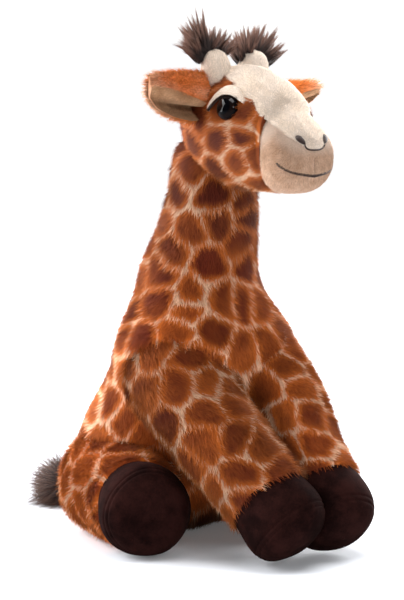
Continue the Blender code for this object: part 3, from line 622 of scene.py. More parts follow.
class Seeds:
    """The patch centres of one cover. A place belongs to the nearest, and a pale line runs where two are as near."""

    def __init__(self, skin, pixels, seed, space=PATCH_SPACE, shift=0.15, dye=1.0, under=0.0, between=0.0):
        self.seed, self.shift, self.dye, self.under, self.between = seed, shift, dye, under, between
        draw = np.random.default_rng(seed)
        places = (skin.seen(pixel)[0] for pixel in pixels)
        found = [np.array(place) for place in places if place is not None]
        for spot in skin.scatter(TRIED, draw)[0]:
            if not found or np.linalg.norm(np.array(found) - spot, axis=1).min() > space:
                found.append(spot)
        self.places = np.array(found)
        self.dyes = draw.uniform(*PATCH_DYES, len(found))
        self.deeps = draw.uniform(*PATCH_DEEPS, len(found))

    def patch(self, points):
        """How many millimetres inside its patch each point is, how strong its colour is there, with the cover's painted
        light and painted shade low on the body and between the front legs, and how deep.
        """
        x, y, z = points.T
        warp = wave_vectors(points, BEND[0], self.seed + 40) * BEND[1]
        warped = points + warp + wave_vectors(points, WOBBLE[0], self.seed + 60) * WOBBLE[1]
        inside, own = np.empty(len(points)), np.empty(len(points), int)
        for start in range(0, len(points), AT_ONCE):
            part = slice(start, start + AT_ONCE)
            far = np.linalg.norm(warped[part][:, None] - self.places[None], axis=2)
            order = np.argsort(far, axis=1)[:, :3]
            near = np.take_along_axis(far, order, 1).T
            a, *others = (self.places[order[:, k]] for k in range(3))
            edge, corner = (
                (reach**2 - near[0] ** 2) / (2 * np.maximum(np.linalg.norm(other - a, axis=1), 1e-6))
                for reach, other in zip(near[1:], others)
            )
            inside[part] = -PATCH_ROUND * np.log(np.exp(-edge / PATCH_ROUND) + np.exp(-corner / PATCH_ROUND))
            own[part] = order[:, 0]
        ragged = waves(points, 0.034, self.seed + 50) * 0.75, waves(points, 0.010, self.seed + 51) * 0.30
        inside = inside / MM + ragged[0] + ragged[1] + self.shift
        higher = fade(z, 0.12, 0.08) * 0.30
        inside += higher
        deep = np.clip(self.deeps[own] + higher + waves(points, 0.011, self.seed + 52) * 0.14, 0, 1)
        # Painted shade: darker low on the body, most towards the front, where it rests on the floor, and on the front
        # legs where they meet.
        forward = 0.35 + 0.65 * fade(y, 0.005, -0.02)
        painted_shade = 1 - self.under * forward * np.clip(1.35 - z / 0.021, 0, 1)
        painted_shade -= self.between * np.clip(1 - np.abs(x) / 0.013, 0, 1)
        own_dye = 1 + (self.dyes[own] - 1) * np.clip(inside / 3, 0, 1)
        return inside, self.dye * painted_shade * (1.24 - 1.7 * higher) * own_dye, deep


def coat(name, skin, body, replaced, seeds, padded=0.7):
    """The backing cloth under the pile: it carries the same patches, a little darker as painted shade under the pile.
    """
    even = {kind: np.full(len(skin.points), value) for kind, value in (("along", 0.3), ("tone", 0.5))}
    piece(name, skin, body, "backing", [replaced], padded, **dict(zip(PATCH_VALUES, seeds.patch(skin.points))), **even)


# -------- body

NECK_LEAN, BODY_HEIGHT = 0.048, 0.263
BODY_HALF_WIDTH, BODY_HALF_DEPTH = 0.051, 0.049
BODY_ROWS, BODY_COLUMNS = 150, 96
# Each ring's height, how far ahead it lies, and how wide and deep it is, as shares.
BODY_RINGS = (
    (-0.002, -0.20, 0.50, 0.52), (0.018, -0.19, 0.80, 0.80), (0.080, -0.17, 0.96, 0.97),
    (0.205, -0.11, 1.13, 1.11), (0.325, 0.16, 1.02, 1.00), (0.450, 0.60, 0.91, 0.88),
    (0.580, 0.64, 0.80, 0.78), (0.705, 0.72, 0.645, 0.635), (0.795, 0.93, 0.560, 0.560),
    (0.850, 1.00, 0.520, 0.541), (0.910, 1.00, 0.475, 0.494), (0.965, 1.00, 0.380, 0.395),
    (1.000, 1.00, 0.150, 0.156),
)
NECK_FROM, NECK_TO = 0.135, 0.255  # the pile between these heights is the neck's piece


def back_share(points):
    """How much a place is on the toy's lower back, where the pile lies flatter."""
    _, y, z = points.T
    return fade(y, -0.005, 0.03) * fade(z, 0, 0.03) * fade(z, 0.155, -0.05)


def swell_cloth(skin, lumps, low, least):
    """Gives a skin its lumps, but lets it come no nearer to the filling than this where it rests on the floor."""
    skin.swell(np.where(skin.points[:, 2] < low, np.maximum(lumps, least), lumps))


def body_skin():
    rings = [
        ((0, -NECK_LEAN * ahead, BODY_HEIGHT * height), (BODY_HALF_WIDTH * wide, 0, 0), (0, BODY_HALF_DEPTH * deep, 0))
        for height, ahead, wide, deep in BODY_RINGS
    ]
    skin = Skin(loft(rings, BODY_ROWS, BODY_COLUMNS))
    swell_cloth(skin, waves(skin.points, 0.035, 3) * 0.0010 - 0.0007 * back_share(skin.points), 0.012, 0.0005)
    return skin


# -------- legs

ROOT_TURNS = (86, 70, 50, 30, 12)
# Each leg's radius, its length, how wide it is along that, and its hoof's radius.
FRONT_LEG = (0.0280, 0.094, ((0, 1), (0.35, 1), (0.80, 0.95), (1, 0.90)), 0.0256)
HIND_LEG = (0.0345, 0.056, ((0, 1), (0.35, 0.99), (0.80, 0.89), (1, 0.81)), 0.0285)
SHOULDER, HIP = (0.036, -0.052, 0.106), (0.037, 0.008, 0.034)
TOE_IN, FRONT_DROP, SPLAY, HIND_DROP = 11, 42, 24, 3.5
CUFF = 0.0045  # how far the plush comes down over the hoof
HOOF_LENGTH = 0.040
HOOF_PROFILE = (
    (-0.10, 0.70), (-0.04, 0.90), (0.04, 0.96), (0.20, 1.01), (0.42, 1.07), (0.62, 1.08), (0.80, 1.00),
    (0.92, 0.85), (1.00, 0.64), (1.05, 0.36), (1.06, 0.04),
)
HOOF_SEAMS = (0.72, 0.80)  # the two rows of sewing round the sole
SEAM_WIDTH, SEAM_DEPTH = 0.0007, 0.0005
HIND_HOOF = (0.925, 0.98)  # a hind hoof is a little slimmer, most of all across
SOFT_EDGE = 0.0016  # how round a stuffed piece stays where it presses on something
LEG_GRID, HOOF_GRID = (96, 72), (190, 110)  # points along and around


def limb_turn(heading, drop):
    return Matrix.Rotation(math.radians(heading), 3, "Z") @ Matrix.Rotation(math.radians(drop - 90), 3, "X")


def axis_of(turn):
    """The way that a limb with this turn points."""
    return np.array(turn @ Vector((0, 0, -1)))


def axis_rings(profile, wide=1, tall=1):
    return [((0, 0, -along), (radius * wide, 0, 0), (0, radius * tall, 0)) for along, radius in profile]


def limb_profile(radius, length, shares):
    """How far along a limb and how wide each of its rings is, from the round of its root."""
    root = [(-radius * math.sin(math.radians(a)), radius * math.cos(math.radians(a))) for a in ROOT_TURNS]
    return root + [(length * along, radius * share) for along, share in shares]


def leg_parts(sign, which):
    """The sizes of one leg, its turn and the place of its root."""
    if which == "front":
        leg, pivot, turn = FRONT_LEG, SHOULDER, limb_turn(-sign * TOE_IN, FRONT_DROP)
    else:
        leg, pivot, turn = HIND_LEG, HIP, limb_turn(sign * SPLAY, HIND_DROP)
    return leg, turn, (pivot[0] * sign, pivot[1], pivot[2])


def flattened(heights):
    """Heights above a plane that something soft rests on, with a rounded edge to the flat."""
    raised = FLOOR_CLEAR + (heights + np.sqrt(heights**2 + 4 * SOFT_EDGE**2)) / 2 - SOFT_EDGE * 0.35
    return np.maximum(raised, FLOOR_CLEAR)


def press(skin, which, sign):
    """Flattens what presses on the floor, and a front leg where it presses on its neighbour."""
    skin.points[:, 2] = flattened(skin.points[:, 2])
    if which == "front":
        skin.points[:, 0] = sign * flattened(sign * skin.points[:, 0])
    skin.settle()


def leg_skin(sign, which):
    (radius, length, shares, hoof), turn, place = leg_parts(sign, which)
    cuff = [(length + over * CUFF, hoof * share) for over, share in ((0.6, 1.01), (1.0, 0.97), (1.1, 0.80))]
    profile = limb_profile(radius, length, shares) + cuff
    skin = Skin(loft(axis_rings(profile), *LEG_GRID, turn, place))
    swell_cloth(skin, waves(skin.points, 0.03, 11 + sign + len(which)) * 0.0009, 0.008, 0.0004)
    press(skin, which, sign)
    return skin


def make_hoof(key, sign, which):
    (_, start, _, radius), turn, place = leg_parts(sign, which)
    profile = [(start + HOOF_LENGTH * along, radius * share) for along, share in HOOF_PROFILE]
    rings = axis_rings(profile, *((1, 1) if which == "front" else HIND_HOOF))
    skin = Skin(loft(rings, *HOOF_GRID, turn, place))
    along = (skin.points - np.array(place)) @ axis_of(turn)
    seam = sum(np.exp(-(((along - start - HOOF_LENGTH * at) / SEAM_WIDTH) ** 2)) for at in HOOF_SEAMS)
    skin.swell(waves(skin.points, 0.022, 31 + sign + len(which)) * 0.0008 - SEAM_DEPTH * seam)
    press(skin, which, sign)
    name = f"{key}_leg"
    piece(f"{key}_hoof_suede", skin, name, "suede", [f"{name}_hoof", f"{name}_sole"], 0.8)


def merge_towards(skin, other, reach, where=None):
    """Rounds the inner corner where a skin runs into another, as stuffed cloth does."""
    low, high = other.points.min(0) - reach, other.points.max(0) + reach
    rise = np.zeros(len(skin.points))
    for i in np.flatnonzero(((skin.points > low) & (skin.points < high)).all(1)):
        spot = Vector(skin.points[i])
        place, normal, _, far = other.tree.find_nearest(spot)
        if (spot - place).dot(normal) < 0:
            far = min(far, reach * 0.5)  # inside the other: it stays under
        share = max(reach - far, 0) / reach
        rise[i] = share**2 * reach / 4
    if where is not None:
        rise *= where(skin.points)
    skin.swell(rise)
    skin.keep_off_floor()


# -------- head

HEAD_AT = np.array((0, -0.048, 0.264))
HEAD_LENGTH, HEAD_BACK, HEAD_HALF_WIDTH, HEAD_HALF_HEIGHT = 0.082, 0.014, 0.0295, 0.0345
# Each ring's place along the head, its lift, and how wide and high it is, as shares.
HEAD_RINGS = (
    (0.00, 0.22, 0.24, 0.26), (0.06, 0.18, 0.66, 0.68), (0.22, 0.08, 0.97, 0.96),
    (0.42, 0.00, 1.05, 1.06), (0.62, 0.03, 1.01, 1.11), (0.80, -0.05, 0.96, 1.01),
    (0.93, -0.13, 0.88, 0.94), (1.02, -0.25, 0.80, 0.83),
)
HEAD_ROWS, HEAD_COLUMNS, MUZZLE_COLUMNS = 110, 96, 128
SEAM_Y = -0.116  # where the muzzle is sewn on
MUZZLE_LENGTH, MUZZLE_HALF_WIDTH, MUZZLE_HALF_HEIGHT, MUZZLE_DROP = 0.0255, 0.0220, 0.0195, 0.0172
MUZZLE_RINGS = (
    (-0.14, 0.34, 0.86, 1.24), (-0.03, 0.33, 0.97, 1.33), (0.05, 0.28, 1.03, 1.33),
    (0.22, 0.21, 1.06, 1.25), (0.50, 0.10, 1.06, 1.12), (0.76, 0.04, 0.96, 0.95),
    (0.93, 0.03, 0.73, 0.70), (1.00, 0.02, 0.46, 0.44), (1.02, 0.02, 0.22, 0.21),
    (1.03, 0.02, 0.02, 0.02),
)


def head_form(rows, start, length, wide, high, drop, columns, square):
    """A form that runs forward from a start behind or ahead of the neck's axis."""
    rings = [
        ((0, start - length * along, high * lift - drop), (wide * across, 0, 0), (0, 0, high * tall))
        for along, lift, across, tall in rows
    ]
    return Skin(loft(rings, HEAD_ROWS, columns, None, HEAD_AT, square))


def head_skin():
    sizes = HEAD_BACK, HEAD_LENGTH, HEAD_HALF_WIDTH, HEAD_HALF_HEIGHT, 0
    return head_form(HEAD_RINGS, *sizes, HEAD_COLUMNS, (1.0, 1.0, 1.0, 0.93, 0.86))


def muzzle_skin():
    sizes = SEAM_Y - HEAD_AT[1], MUZZLE_LENGTH, MUZZLE_HALF_WIDTH, MUZZLE_HALF_HEIGHT, MUZZLE_DROP
    return head_form(MUZZLE_RINGS, *sizes, MUZZLE_COLUMNS, (0.84, 0.86, 0.92, 1.0))


# -------- what is on the toy

# The middles of patches, in the photograph's frame.
BODY_SPOTS = (
    (188, 170), (181, 190), (211, 198), (245, 202), (167, 222), (191, 228), (214, 220), (246, 219), (241, 237),
    (172, 248), (206, 265), (246, 266), (161, 271), (192, 292), (158, 304), (221, 300), (240, 301), (257, 303),
    (189, 313), (142, 335), (178, 331), (213, 332), (242, 354), (268, 345), (155, 366), (200, 357), (178, 387),
    (208, 384), (229, 390), (251, 388), (148, 395), (109, 378), (97, 402), (115, 400), (128, 372), (125, 415),
)
NEAR_LEG_SPOTS = (
    (148, 395), (204, 410), (233, 403), (163, 421), (205, 443), (236, 438), (260, 446), (196, 468), (242, 476),
    (283, 470), (243, 498), (213, 492), (228, 512), (178, 387), (208, 384), (229, 390), (251, 388),
)
FAR_LEG_SPOTS = (
    (293, 350), (288, 369), (300, 388), (284, 415), (309, 413), (326, 398), (268, 430), (335, 430), (313, 447),
    (287, 453), (312, 474), (345, 470),
)
HAUNCH_SPOTS = (
    (97, 402), (115, 400), (125, 415), (147, 430), (104, 438), (128, 447), (84, 474), (118, 462), (92, 500),
    (102, 510), (100, 530),
)
HEAD_SPOTS = (
    (222, 80), (199, 117), (193, 143), (216, 140), (247, 115), (243, 138), (263, 121), (254, 158), (240, 163),
    (217, 170), (258, 183),
)
# The colour strength of a cover is partly painted light: the near front leg is painted darker and the hind legs
# brighter, though all are the same cloth. Under paints shade low on the body, and between paints shade where the front
# legs meet.
PATCHED = {
    "body": (BODY_SPOTS, 21, {"under": 0.9}),
    "head": (HEAD_SPOTS, 22, {"space": PATCH_SPACE * 0.9, "shift": -0.40, "dye": 0.92}),
    "right_front": (NEAR_LEG_SPOTS, 23, {"dye": 0.66, "between": 0.6}),
    "left_front": (FAR_LEG_SPOTS, 24, {"dye": 0.93, "between": 0.6}),
    "right_hind": (HAUNCH_SPOTS, 25, {"dye": 1.16}),
    "left_hind": ((), 26, {"dye": 1.10}),
}
# Fibres for each square millimetre, and their length.
PILE, HEAD_PILE, EAR_PILE, TAIL_PILE = (1.15, 0.0066), (1.7, 0.0042), (2.0, 0.0058), (1.0, 0.0062)
SHOULDER_FILLET, ARM_FILLET, HIP_FILLET = 0.042, 0.032, 0.010  # how far from a corner its rounding starts


def merge_legs(skins):
    """Rounds the corners between the body and the legs."""
    bare = skins["body"].points[: BODY_ROWS * BODY_COLUMNS]
    bare_body = Skin(bare.reshape(BODY_ROWS, BODY_COLUMNS, 3))
    shoulder = lambda p: np.maximum(fade(p[:, 2], 0.075, 0.03), 0.15)
    over_shoulder = lambda p: shoulder(p) + 0.55 * fade(p[:, 2], 0.112, 0.015)
    for side, _ in SIDES:
        merge_towards(skins["body"], skins[f"{side}_front"], SHOULDER_FILLET, over_shoulder)
        merge_towards(skins[f"{side}_front"], bare_body, ARM_FILLET, shoulder)
        merge_towards(skins["body"], skins[f"{side}_hind"], HIP_FILLET)


def make_coats():
    skins = {"body": body_skin(), "head": head_skin()}
    for key, sign, which in LEGS:
        skins[key] = leg_skin(sign, which)
    merge_legs(skins)
    seeds = {key: Seeds(skins[key], spots, seed, **how) for key, (spots, seed, how) in PATCHED.items()}
    coat("body_cover_skin", skins["body"], "body", "body_cover", seeds["body"])
    others = [skins[key] for key, _, _ in LEGS] + [skins["head"]]
    flatter = lambda p: 1 - 0.3 * back_share(p)
    for name, keep, seed in (
        ("neck_pile", lambda p: (p[:, 2] > NECK_FROM) & (p[:, 2] < NECK_TO), 1),
        ("torso_pile", lambda p: p[:, 2] <= NECK_FROM, 2),
    ):
        down = brushed(0.0, 0.10, -1.0)
        pile(name, skins["body"], "body", *PILE, down, seeds["body"], keep=keep, others=others, seed=seed, grow=flatter)
    for key, sign, which in LEGS:
        (_, length, _, _), turn, place = leg_parts(sign, which)
        skin, name, way = skins[key], f"{key}_leg", axis_of(turn)
        coat(f"{name}_skin", skin, name, f"{name}_cover", seeds[key])
        far_end = np.array(place) + np.array(turn @ Vector((0, 0, -length)))
        how = {"keep": lambda p: (p - far_end) @ way < CUFF, "others": [skins["body"]], "seed": len(name) + sign}
        pile(f"{name}_pile", skin, name, *PILE, brushed(*(way + (0, 0, -0.25))), seeds[key], **how)
    coat("head_cover_skin", skins["head"], "head", "head_cover", seeds["head"])
    muzzle = muzzle_skin()
    edge = FaceEdge((skins["head"], muzzle))
    lids = [eye_frame(sign, skins["head"]) for _, sign in SIDES]
    keep = lambda p: ~edge.covers(p) & ~on_lids(p, lids) & (p[:, 1] > SEAM_Y + 0.0005)
    backwards = brushed(0.0, 1.0, -0.55)
    pile("head_pile", skins["head"], "head", *HEAD_PILE, backwards, seeds["head"], 26, 0.45, keep=keep, seed=8)
    return skins["head"], muzzle, edge


# -------- face

# The cream panel is measured by angle about a line across the middle of the head.
PANEL_HUB = np.array((0, -0.095, 0.235))
PANEL_BACK = 120  # degrees: behind the horns
PANEL_BEHIND = ((124, 0.006), (118, 0.0110), (110, 0.0155), (104, 0.0178), (97, 0.0190))
# The near edge of the cream in the photograph's frame, from the eyelid to the nostril.
PANEL_PIXELS = (
    (237, 93), (242, 101), (251, 102), (255, 107), (257, 114), (262, 117.5), (268, 121), (273, 126), (280, 130),
    (287, 137), (294, 140),
)
PANEL_TIP = 9.0  # degrees over which the cream's front end comes to a point
PANEL_START = 0.12  # how far out the panel is measured from
PANEL_THICK, PANEL_SINK = 0.0014, 0.0003
PANEL_ROWS, PANEL_COLUMNS = 130, 64


def panel_angle(points):
    """Degrees round the hub: 90 is straight up, and less is ahead of that, down to the nose."""
    return np.degrees(np.arctan2(points[..., 2] - PANEL_HUB[2], PANEL_HUB[1] - points[..., 1])) % 360


def panel_out(angle):
    a = math.radians(angle)
    return Vector((0, -math.cos(a), math.sin(a)))


class FaceEdge:
    """How far to each side the cream reaches, by its angle round the head."""

    def __init__(self, skins):
        rows = list(PANEL_BEHIND)
        for pixel in PANEL_PIXELS:
            place = np.array(first_seen(skins, pixel)[0])
            rows.append((float(panel_angle(place)), abs(place[0])))
        angles, widths = np.array(sorted(rows)).T
        self.angles = np.linspace(angles[0], angles[-1], 200)
        self.widths = along_rows(np.interp(self.angles, angles, widths)[:, None], 7)[:, 0]
        self.front = self.angles[0] - PANEL_TIP

    def __call__(self, angle, side=-1):
        """On the far side the cream is narrower beside the eye, as the photograph shows."""
        wide = np.interp(angle, self.angles, self.widths) * np.sqrt(fade(angle, self.front, PANEL_TIP))
        less = 0.14 * fade(angle, 44, 10) * fade(angle, 104, -16)
        return wide * (1 - less * (np.asarray(side) > 0))

    def covers(self, points):
        angle = panel_angle(points)
        wide = self(angle, points[:, 0]) - 0.0010 + 0.0007 * waves(points, 0.006, 44)
        return (np.abs(points[:, 0]) < wide) & (angle < PANEL_BACK) & (points[:, 2] > 0.25)


def make_face(head, muzzle, edge):
    """The cream velour from behind the horns to the nose, over the head and the muzzle's top."""
    angles = np.linspace(PANEL_BACK, edge.front + 0.05, PANEL_ROWS)
    shares = np.sin(np.linspace(-1, 1, PANEL_COLUMNS) * math.pi / 2)
    far = np.empty((PANEL_ROWS, PANEL_COLUMNS))
    for i, angle in enumerate(angles):
        way = panel_out(angle)
        for j, share in enumerate(shares):
            start = Vector(PANEL_HUB) + Vector((edge(angle, share) * share, 0, 0)) + way * PANEL_START
            hits = [skin.tree.ray_cast(start, -way) for skin in (head, muzzle)]
            far[i, j] = PANEL_START - min(hit[3] for hit in hits if hit[0] is not None)
    far = np.maximum(along_rows(far, 12), far)
    smooth = along_rows(far, 10)
    smooth += along_rows(np.maximum(far - smooth - 0.0006, 0), 5) * 1.6
    grid = np.empty((*far.shape, 3))
    for i, angle in enumerate(angles):
        way = np.array(panel_out(angle))
        for j, share in enumerate(shares):
            rim = min(1, (1 - abs(share)) * 12, i / 3, (PANEL_ROWS - 1 - i) / 5)
            height = smooth[i, j] + PANEL_THICK * math.sqrt(rim) - PANEL_SINK
            grid[i, j] = PANEL_HUB + way * height + (edge(angle, share) * share, 0, 0)
    skin = Skin(grid, (False, False), around=False, out=(0, -0.5, 1))
    piece("face_velour", skin, "head", "cream", ["face_panel"], 0.5)
    nap("face_nap", skin, "head", "cream", (0, 0.8, -0.4), length=0.0009)
    for side, sign in SIDES:
        nostril(side, sign, skin)
    return skin


def nose_pale(points):
    """How far the muzzle's beige goes to cream near the nose."""
    _, y, z = points.T
    nose_line = 0.2560 + 0.0060 * fade(y, -0.118, -0.010) - 0.0085 * fade(y, -0.128, -0.012)
    return 0.5 * np.clip((z - nose_line) / 0.0090 + 0.5, 0, 1)


# In the photograph's frame: the mouth from its corner, a nostril's two ends, and the nose's stitched edge.
MOUTH = ((276, 163), (280, 166.5), (285, 169.8), (292, 172.6), (300, 174.4), (307, 175.4), (313, 176.0))
NOSTRIL_FROM, NOSTRIL_TO = (295.5, 136), (305.5, 145)
NOSTRIL_HALF_WIDTH, NOSTRIL_PUFF, NOSTRIL_LIFT = 0.0021, 0.0012, 0.0001
NOSE_LINE = ((304.5, 145), (306, 147.3), (309, 149.1), (312.5, 149.6))
MOUTH_RADIUS, NOSE_RADIUS, LASH_RADIUS = 0.00096, 0.00050, 0.00040  # of each thread
GROOVE_LOW, GROOVE_HIGH = 0.2385, 0.2505  # the ends of the groove from the nose to the mouth
GROOVE_WIDTH, GROOVE_DEPTH = 0.0011, 0.0016


def mirrored_line(half):
    """The rest of a line, from its middle to its end on the other side."""
    return [p * (-1, 1, 1) for p in reversed(half)]


def make_muzzle(skin, edge):
    x, y, z = skin.points.T
    ends = fade(z, GROOVE_LOW, 0.003) * fade(z, GROOVE_HIGH, -0.003)
    groove = np.exp(-((x / GROOVE_WIDTH) ** 2)) * ends * fade(y, -0.125, -0.010)
    skin.swell(-GROOVE_DEPTH * groove + waves(skin.points, 0.03, 51) * 0.0003)
    piece("muzzle_velour", skin, "head", "beige", ["muzzle_cover"], 0.7, pale=nose_pale(skin.points))
    on_groove = lambda p: (p[:, 1] < -0.127) & (p[:, 2] > GROOVE_LOW) & (p[:, 2] < GROOVE_HIGH - 0.0005)
    parting = lambda p: (np.abs(p[:, 0]) < 0.0008) & on_groove(p)
    bare = lambda p: ~edge.covers(p) & (p[:, 1] < SEAM_Y + 0.0015) & ~parting(p)
    nap("muzzle_nap", skin, "head", "beige", (0, 0.6, -1), length=0.0017, pale=nose_pale, keep=bare)
    points = [np.array(skin.seen(pixel)[0]) for pixel in MOUTH]
    centre, _, _, _ = skin.tree.ray_cast(Vector((0, -0.3, points[-1][2] - 0.0002)), Vector((0, 1, 0)))
    line = spline(points + [np.array(centre)] + mirrored_line(points), 80)
    stitch("mouth_stitch", line, MOUTH_RADIUS, 14, rise=0.35, replaced=["mouth_thread"])


def nostril(side, sign, skin):
    """A dark stitched oval let into the velour."""
    ends = [mirrored_seen(skin, pixel, sign)[0] for pixel in (NOSTRIL_FROM, NOSTRIL_TO)]
    place, normal, _, _ = skin.tree.find_nearest((ends[0] + ends[1]) / 2)
    long = (ends[1] - ends[0]) / 2
    short = normal.cross(long).normalized() * NOSTRIL_HALF_WIDTH
    grid = []
    for ring in np.linspace(1, 0.04, 8):
        row = []
        for t in np.linspace(0, math.tau, 32, endpoint=False):
            spot = place + long * (ring * math.cos(t)) + short * (ring * math.sin(t) * (1 - 0.25 * math.cos(t)))
            hit, out, _, _ = skin.tree.find_nearest(spot)
            row.append(hit + out * (NOSTRIL_PUFF * math.sqrt(max(1 - ring**2, 0)) + NOSTRIL_LIFT))
        grid.append(row)
    piece(f"{side}_nostril_stitch", Skin(np.array(grid), (False, True)), "head", "thread", [f"{side}_nostril"])


def make_nose_line(skins):
    """The thread between the nostrils, along the lower edge of the nose."""
    seen = [first_seen(skins, pixel) for pixel in NOSE_LINE]
    half = [np.array(place + normal * 0.0006) for place, normal in seen]
    stitch("nose_stitch", spline(half + mirrored_line(half), 60), NOSE_RADIUS, 10, (1, 1), low=0.3)


# -------- eyes

EYE_PIXEL = (228.5, 108.5)
EYE_RADIUS, EYE_RISE, EYE_LIFT = 0.0076, 0.0054, 0.0008
EYE_ARC = (-20, 88, 30)  # degrees up the dome: from, to, and how many rings
EYE_COLUMNS = 48
# The lid's lower and upper edges, in millimetres towards the nose and up from the eye's middle.
LID_LOWER = ((-14.2, -2.4), (-11.8, 0.4), (-8.4, 4.0), (-4.6, 6.8), (0.0, 7.4), (4.6, 6.4), (8.0, 4.6), (11.0, 3.2))
LID_UPPER = (
    (-15.2, -1.2), (-14.6, 3.4), (-12.8, 8.8), (-9.2, 13.8), (-3.4, 16.8), (2.6, 16.2), (8.0, 11.8), (12.0, 6.0),
)
LID_STEPS, LID_ROWS = 48, 14
LID_ENDS, LID_REACH, BARE_EYE = (-0.0148, 0.0125), 0.022, 0.0066  # the head's pile stays out of these
LID_LIFT, LID_PUFF, LID_LEAN = 0.0003, 0.0030, 0.0022  # off the head, in its middle, and more at its lower edge
LASHES, LASH_LENGTHS, LASH_WIDTH = 150, (0.0010, 0.0024), 0.00032
LASH_LIFT, LASH_LINE_LIFT = 0.0030, 0.0026


def eye_frame(sign, head):
    """The eye's middle on the head, and the ways out of it, towards the nose and up."""
    place, out = mirrored_seen(head, EYE_PIXEL, sign)
    inwards = Vector((0, 0, 1)).cross(out).normalized() * -sign
    return place, out, inwards, out.cross(Vector((0, 0, 1)).cross(out)).normalized()


def on_lids(points, frames):
    """Whether a place on the head is under an eyelid or an eye."""
    low, high = spline(LID_LOWER, 40) * MM, spline(LID_UPPER, 40) * MM
    under = np.zeros(len(points), bool)
    for place, out, inwards, rise in frames:
        flat = points - np.array(place)
        u, v = flat @ np.array(inwards), flat @ np.array(rise)
        near = np.linalg.norm(flat, axis=1) < LID_REACH
        between = (v > np.interp(u, *low.T) - 0.001) & (v < np.interp(u, *high.T) - 0.0004)
        under |= near & ((between & (u > LID_ENDS[0]) & (u < LID_ENDS[1])) | (u**2 + v**2 < BARE_EYE**2))
    return under


def make_eye(side, sign, head):
    """A glossy eye with its lid of cream velour and a fringe of lashes."""
    place, out, inwards, rise = eye_frame(sign, head)
    on_eye = lambda u, v: place + inwards * u + rise * v
    on_head = lambda u, v: head.tree.find_nearest(on_eye(u, v))[:2]
    turns = np.linspace(0, math.tau, EYE_COLUMNS, endpoint=False)
    grid = []
    for a in np.radians(np.linspace(*EYE_ARC)):
        ring, height = EYE_RADIUS * math.cos(a), EYE_RISE * math.sin(a)
        grid.append([on_eye(ring * math.cos(t), ring * math.sin(t)) + out * (height + EYE_LIFT) for t in turns])
    form = Skin(np.array(grid))
    flat = form.points - np.array(place)
    flat = flat - np.outer(flat @ np.array(out), out)
    shares = np.linalg.norm(flat, axis=1) / EYE_RADIUS
    piece(f"{side}_eye_dome", form, "head", "gloss", [f"{side}_eye"], out=shares)

    lower, upper = spline(LID_LOWER, LID_STEPS) * MM, spline(LID_UPPER, LID_STEPS) * MM
    grid = []
    for i, (low, high) in enumerate(zip(lower, upper)):
        along = (i + 0.5) / LID_STEPS
        swell = min(1, along * 5, (1 - along) * 2.2) ** 0.6
        row = []
        for share in np.linspace(0, 1, LID_ROWS):
            hit, normal = on_head(*(low * (1 - share) + high * share))
            puff = math.sin(math.pi * min(share * 0.80 + 0.20, 1)) ** 0.7
            lean = (1 - share) ** 2 * LID_LEAN
            row.append(hit + normal * (LID_LIFT + (LID_PUFF * puff + lean) * swell))
        grid.append(row)
    lid = Skin(np.array(grid), (False, False), around=False, out=out)
    piece(f"{side}_eyelid_velour", lid, "head", "cream", [f"{side}_eyelid"], 0.5)
    nap(f"{side}_eyelid_nap", lid, "head", "cream", (0, 1, 0.2), length=0.0008)

    draw = np.random.default_rng(60 + sign)
    spots = draw.uniform(0.0, 0.75, LASHES)
    stations = np.linspace(0, 1, LID_STEPS)
    roots, ways, normals = [], [], []
    for u, v in zip(*(np.interp(spots, stations, lower[:, k]) for k in range(2))):
        hit, normal = on_head(u, v + 0.0004)
        roots.append(hit + normal * LASH_LIFT)
        outwards = (inwards * u + rise * v).normalized()
        spread = Vector(draw.normal(size=3) * 0.16)
        ways.append((outwards * draw.uniform(-0.75, 0.10) + normal * 0.8 + spread).normalized())
        normals.append(normal)
    lengths = draw.uniform(*LASH_LENGTHS, LASHES)
    fringe = (np.array(rows) for rows in (roots, ways, normals))
    fibres(f"{side}_eyelash_fringe", *fringe, lengths, LASH_WIDTH, "head", "thread", replaced=[f"{side}_eyelash"])
    # A dark thread along the lid's edge, which the lashes grow from.
    hits = [on_head(u, v) for u, v in lower[: int(LID_STEPS * 0.88)]]
    line = [np.array(hit + normal * LASH_LINE_LIFT) for hit, normal in hits]
    stitch(f"{side}_lash_line", line, LASH_RADIUS, 8, (2, 1))


# -------- horns, ears and tail

HORN_ROOT = (0.0140, -0.068, 0.29474)
HORN_LENGTH, HORN_RADIUS, HORN_LEAN, HORN_GRID = 0.020, 0.0065, 12, (60, 48)
HORN_FOOT = 0.292  # the nap starts at this height, over the head's pile
HORN_RINGS = (
    (-0.45, 1.20), (-0.20, 1.50), (0.05, 1.56), (0.30, 1.44), (0.55, 1.28), (0.72, 1.06), (0.82, 0.70), (0.86, 0.36),
    (0.87, 0.05),
)
TUFT_CLUMPS, TUFT_FIBRES, TUFT_WIDTH = 150, 8500, 0.00036
TUFT_REACH, TUFT_SHARES = (0.0120, 0.0180), (0.55, 1.0)  # a clump's length, and a fibre's share of its clump's
# How much longer a tuft's longest fibres are, where along it they are, how much taller the whole tuft is, how far its
# middle leans outwards, and how far up and out on the horn it is sewn.
TUFTS = {"left": (0.0045, -0.2, 0.0045, 0.18, 0.0125, 0.0025), "right": (0.0115, 0.25, 0.0010, 0.06, 0.0170, 0.0)}


def long_tuft(name, body, roots, ways, normals, lengths, width, droop, dye, replaced):
    how = {"values": {"dye": np.full(len(roots), dye)}, "replaced": [replaced], "padded": 0.4}
    fibres(name, roots, ways, normals, lengths, width, body, "long_pile", 2, droop, **how)


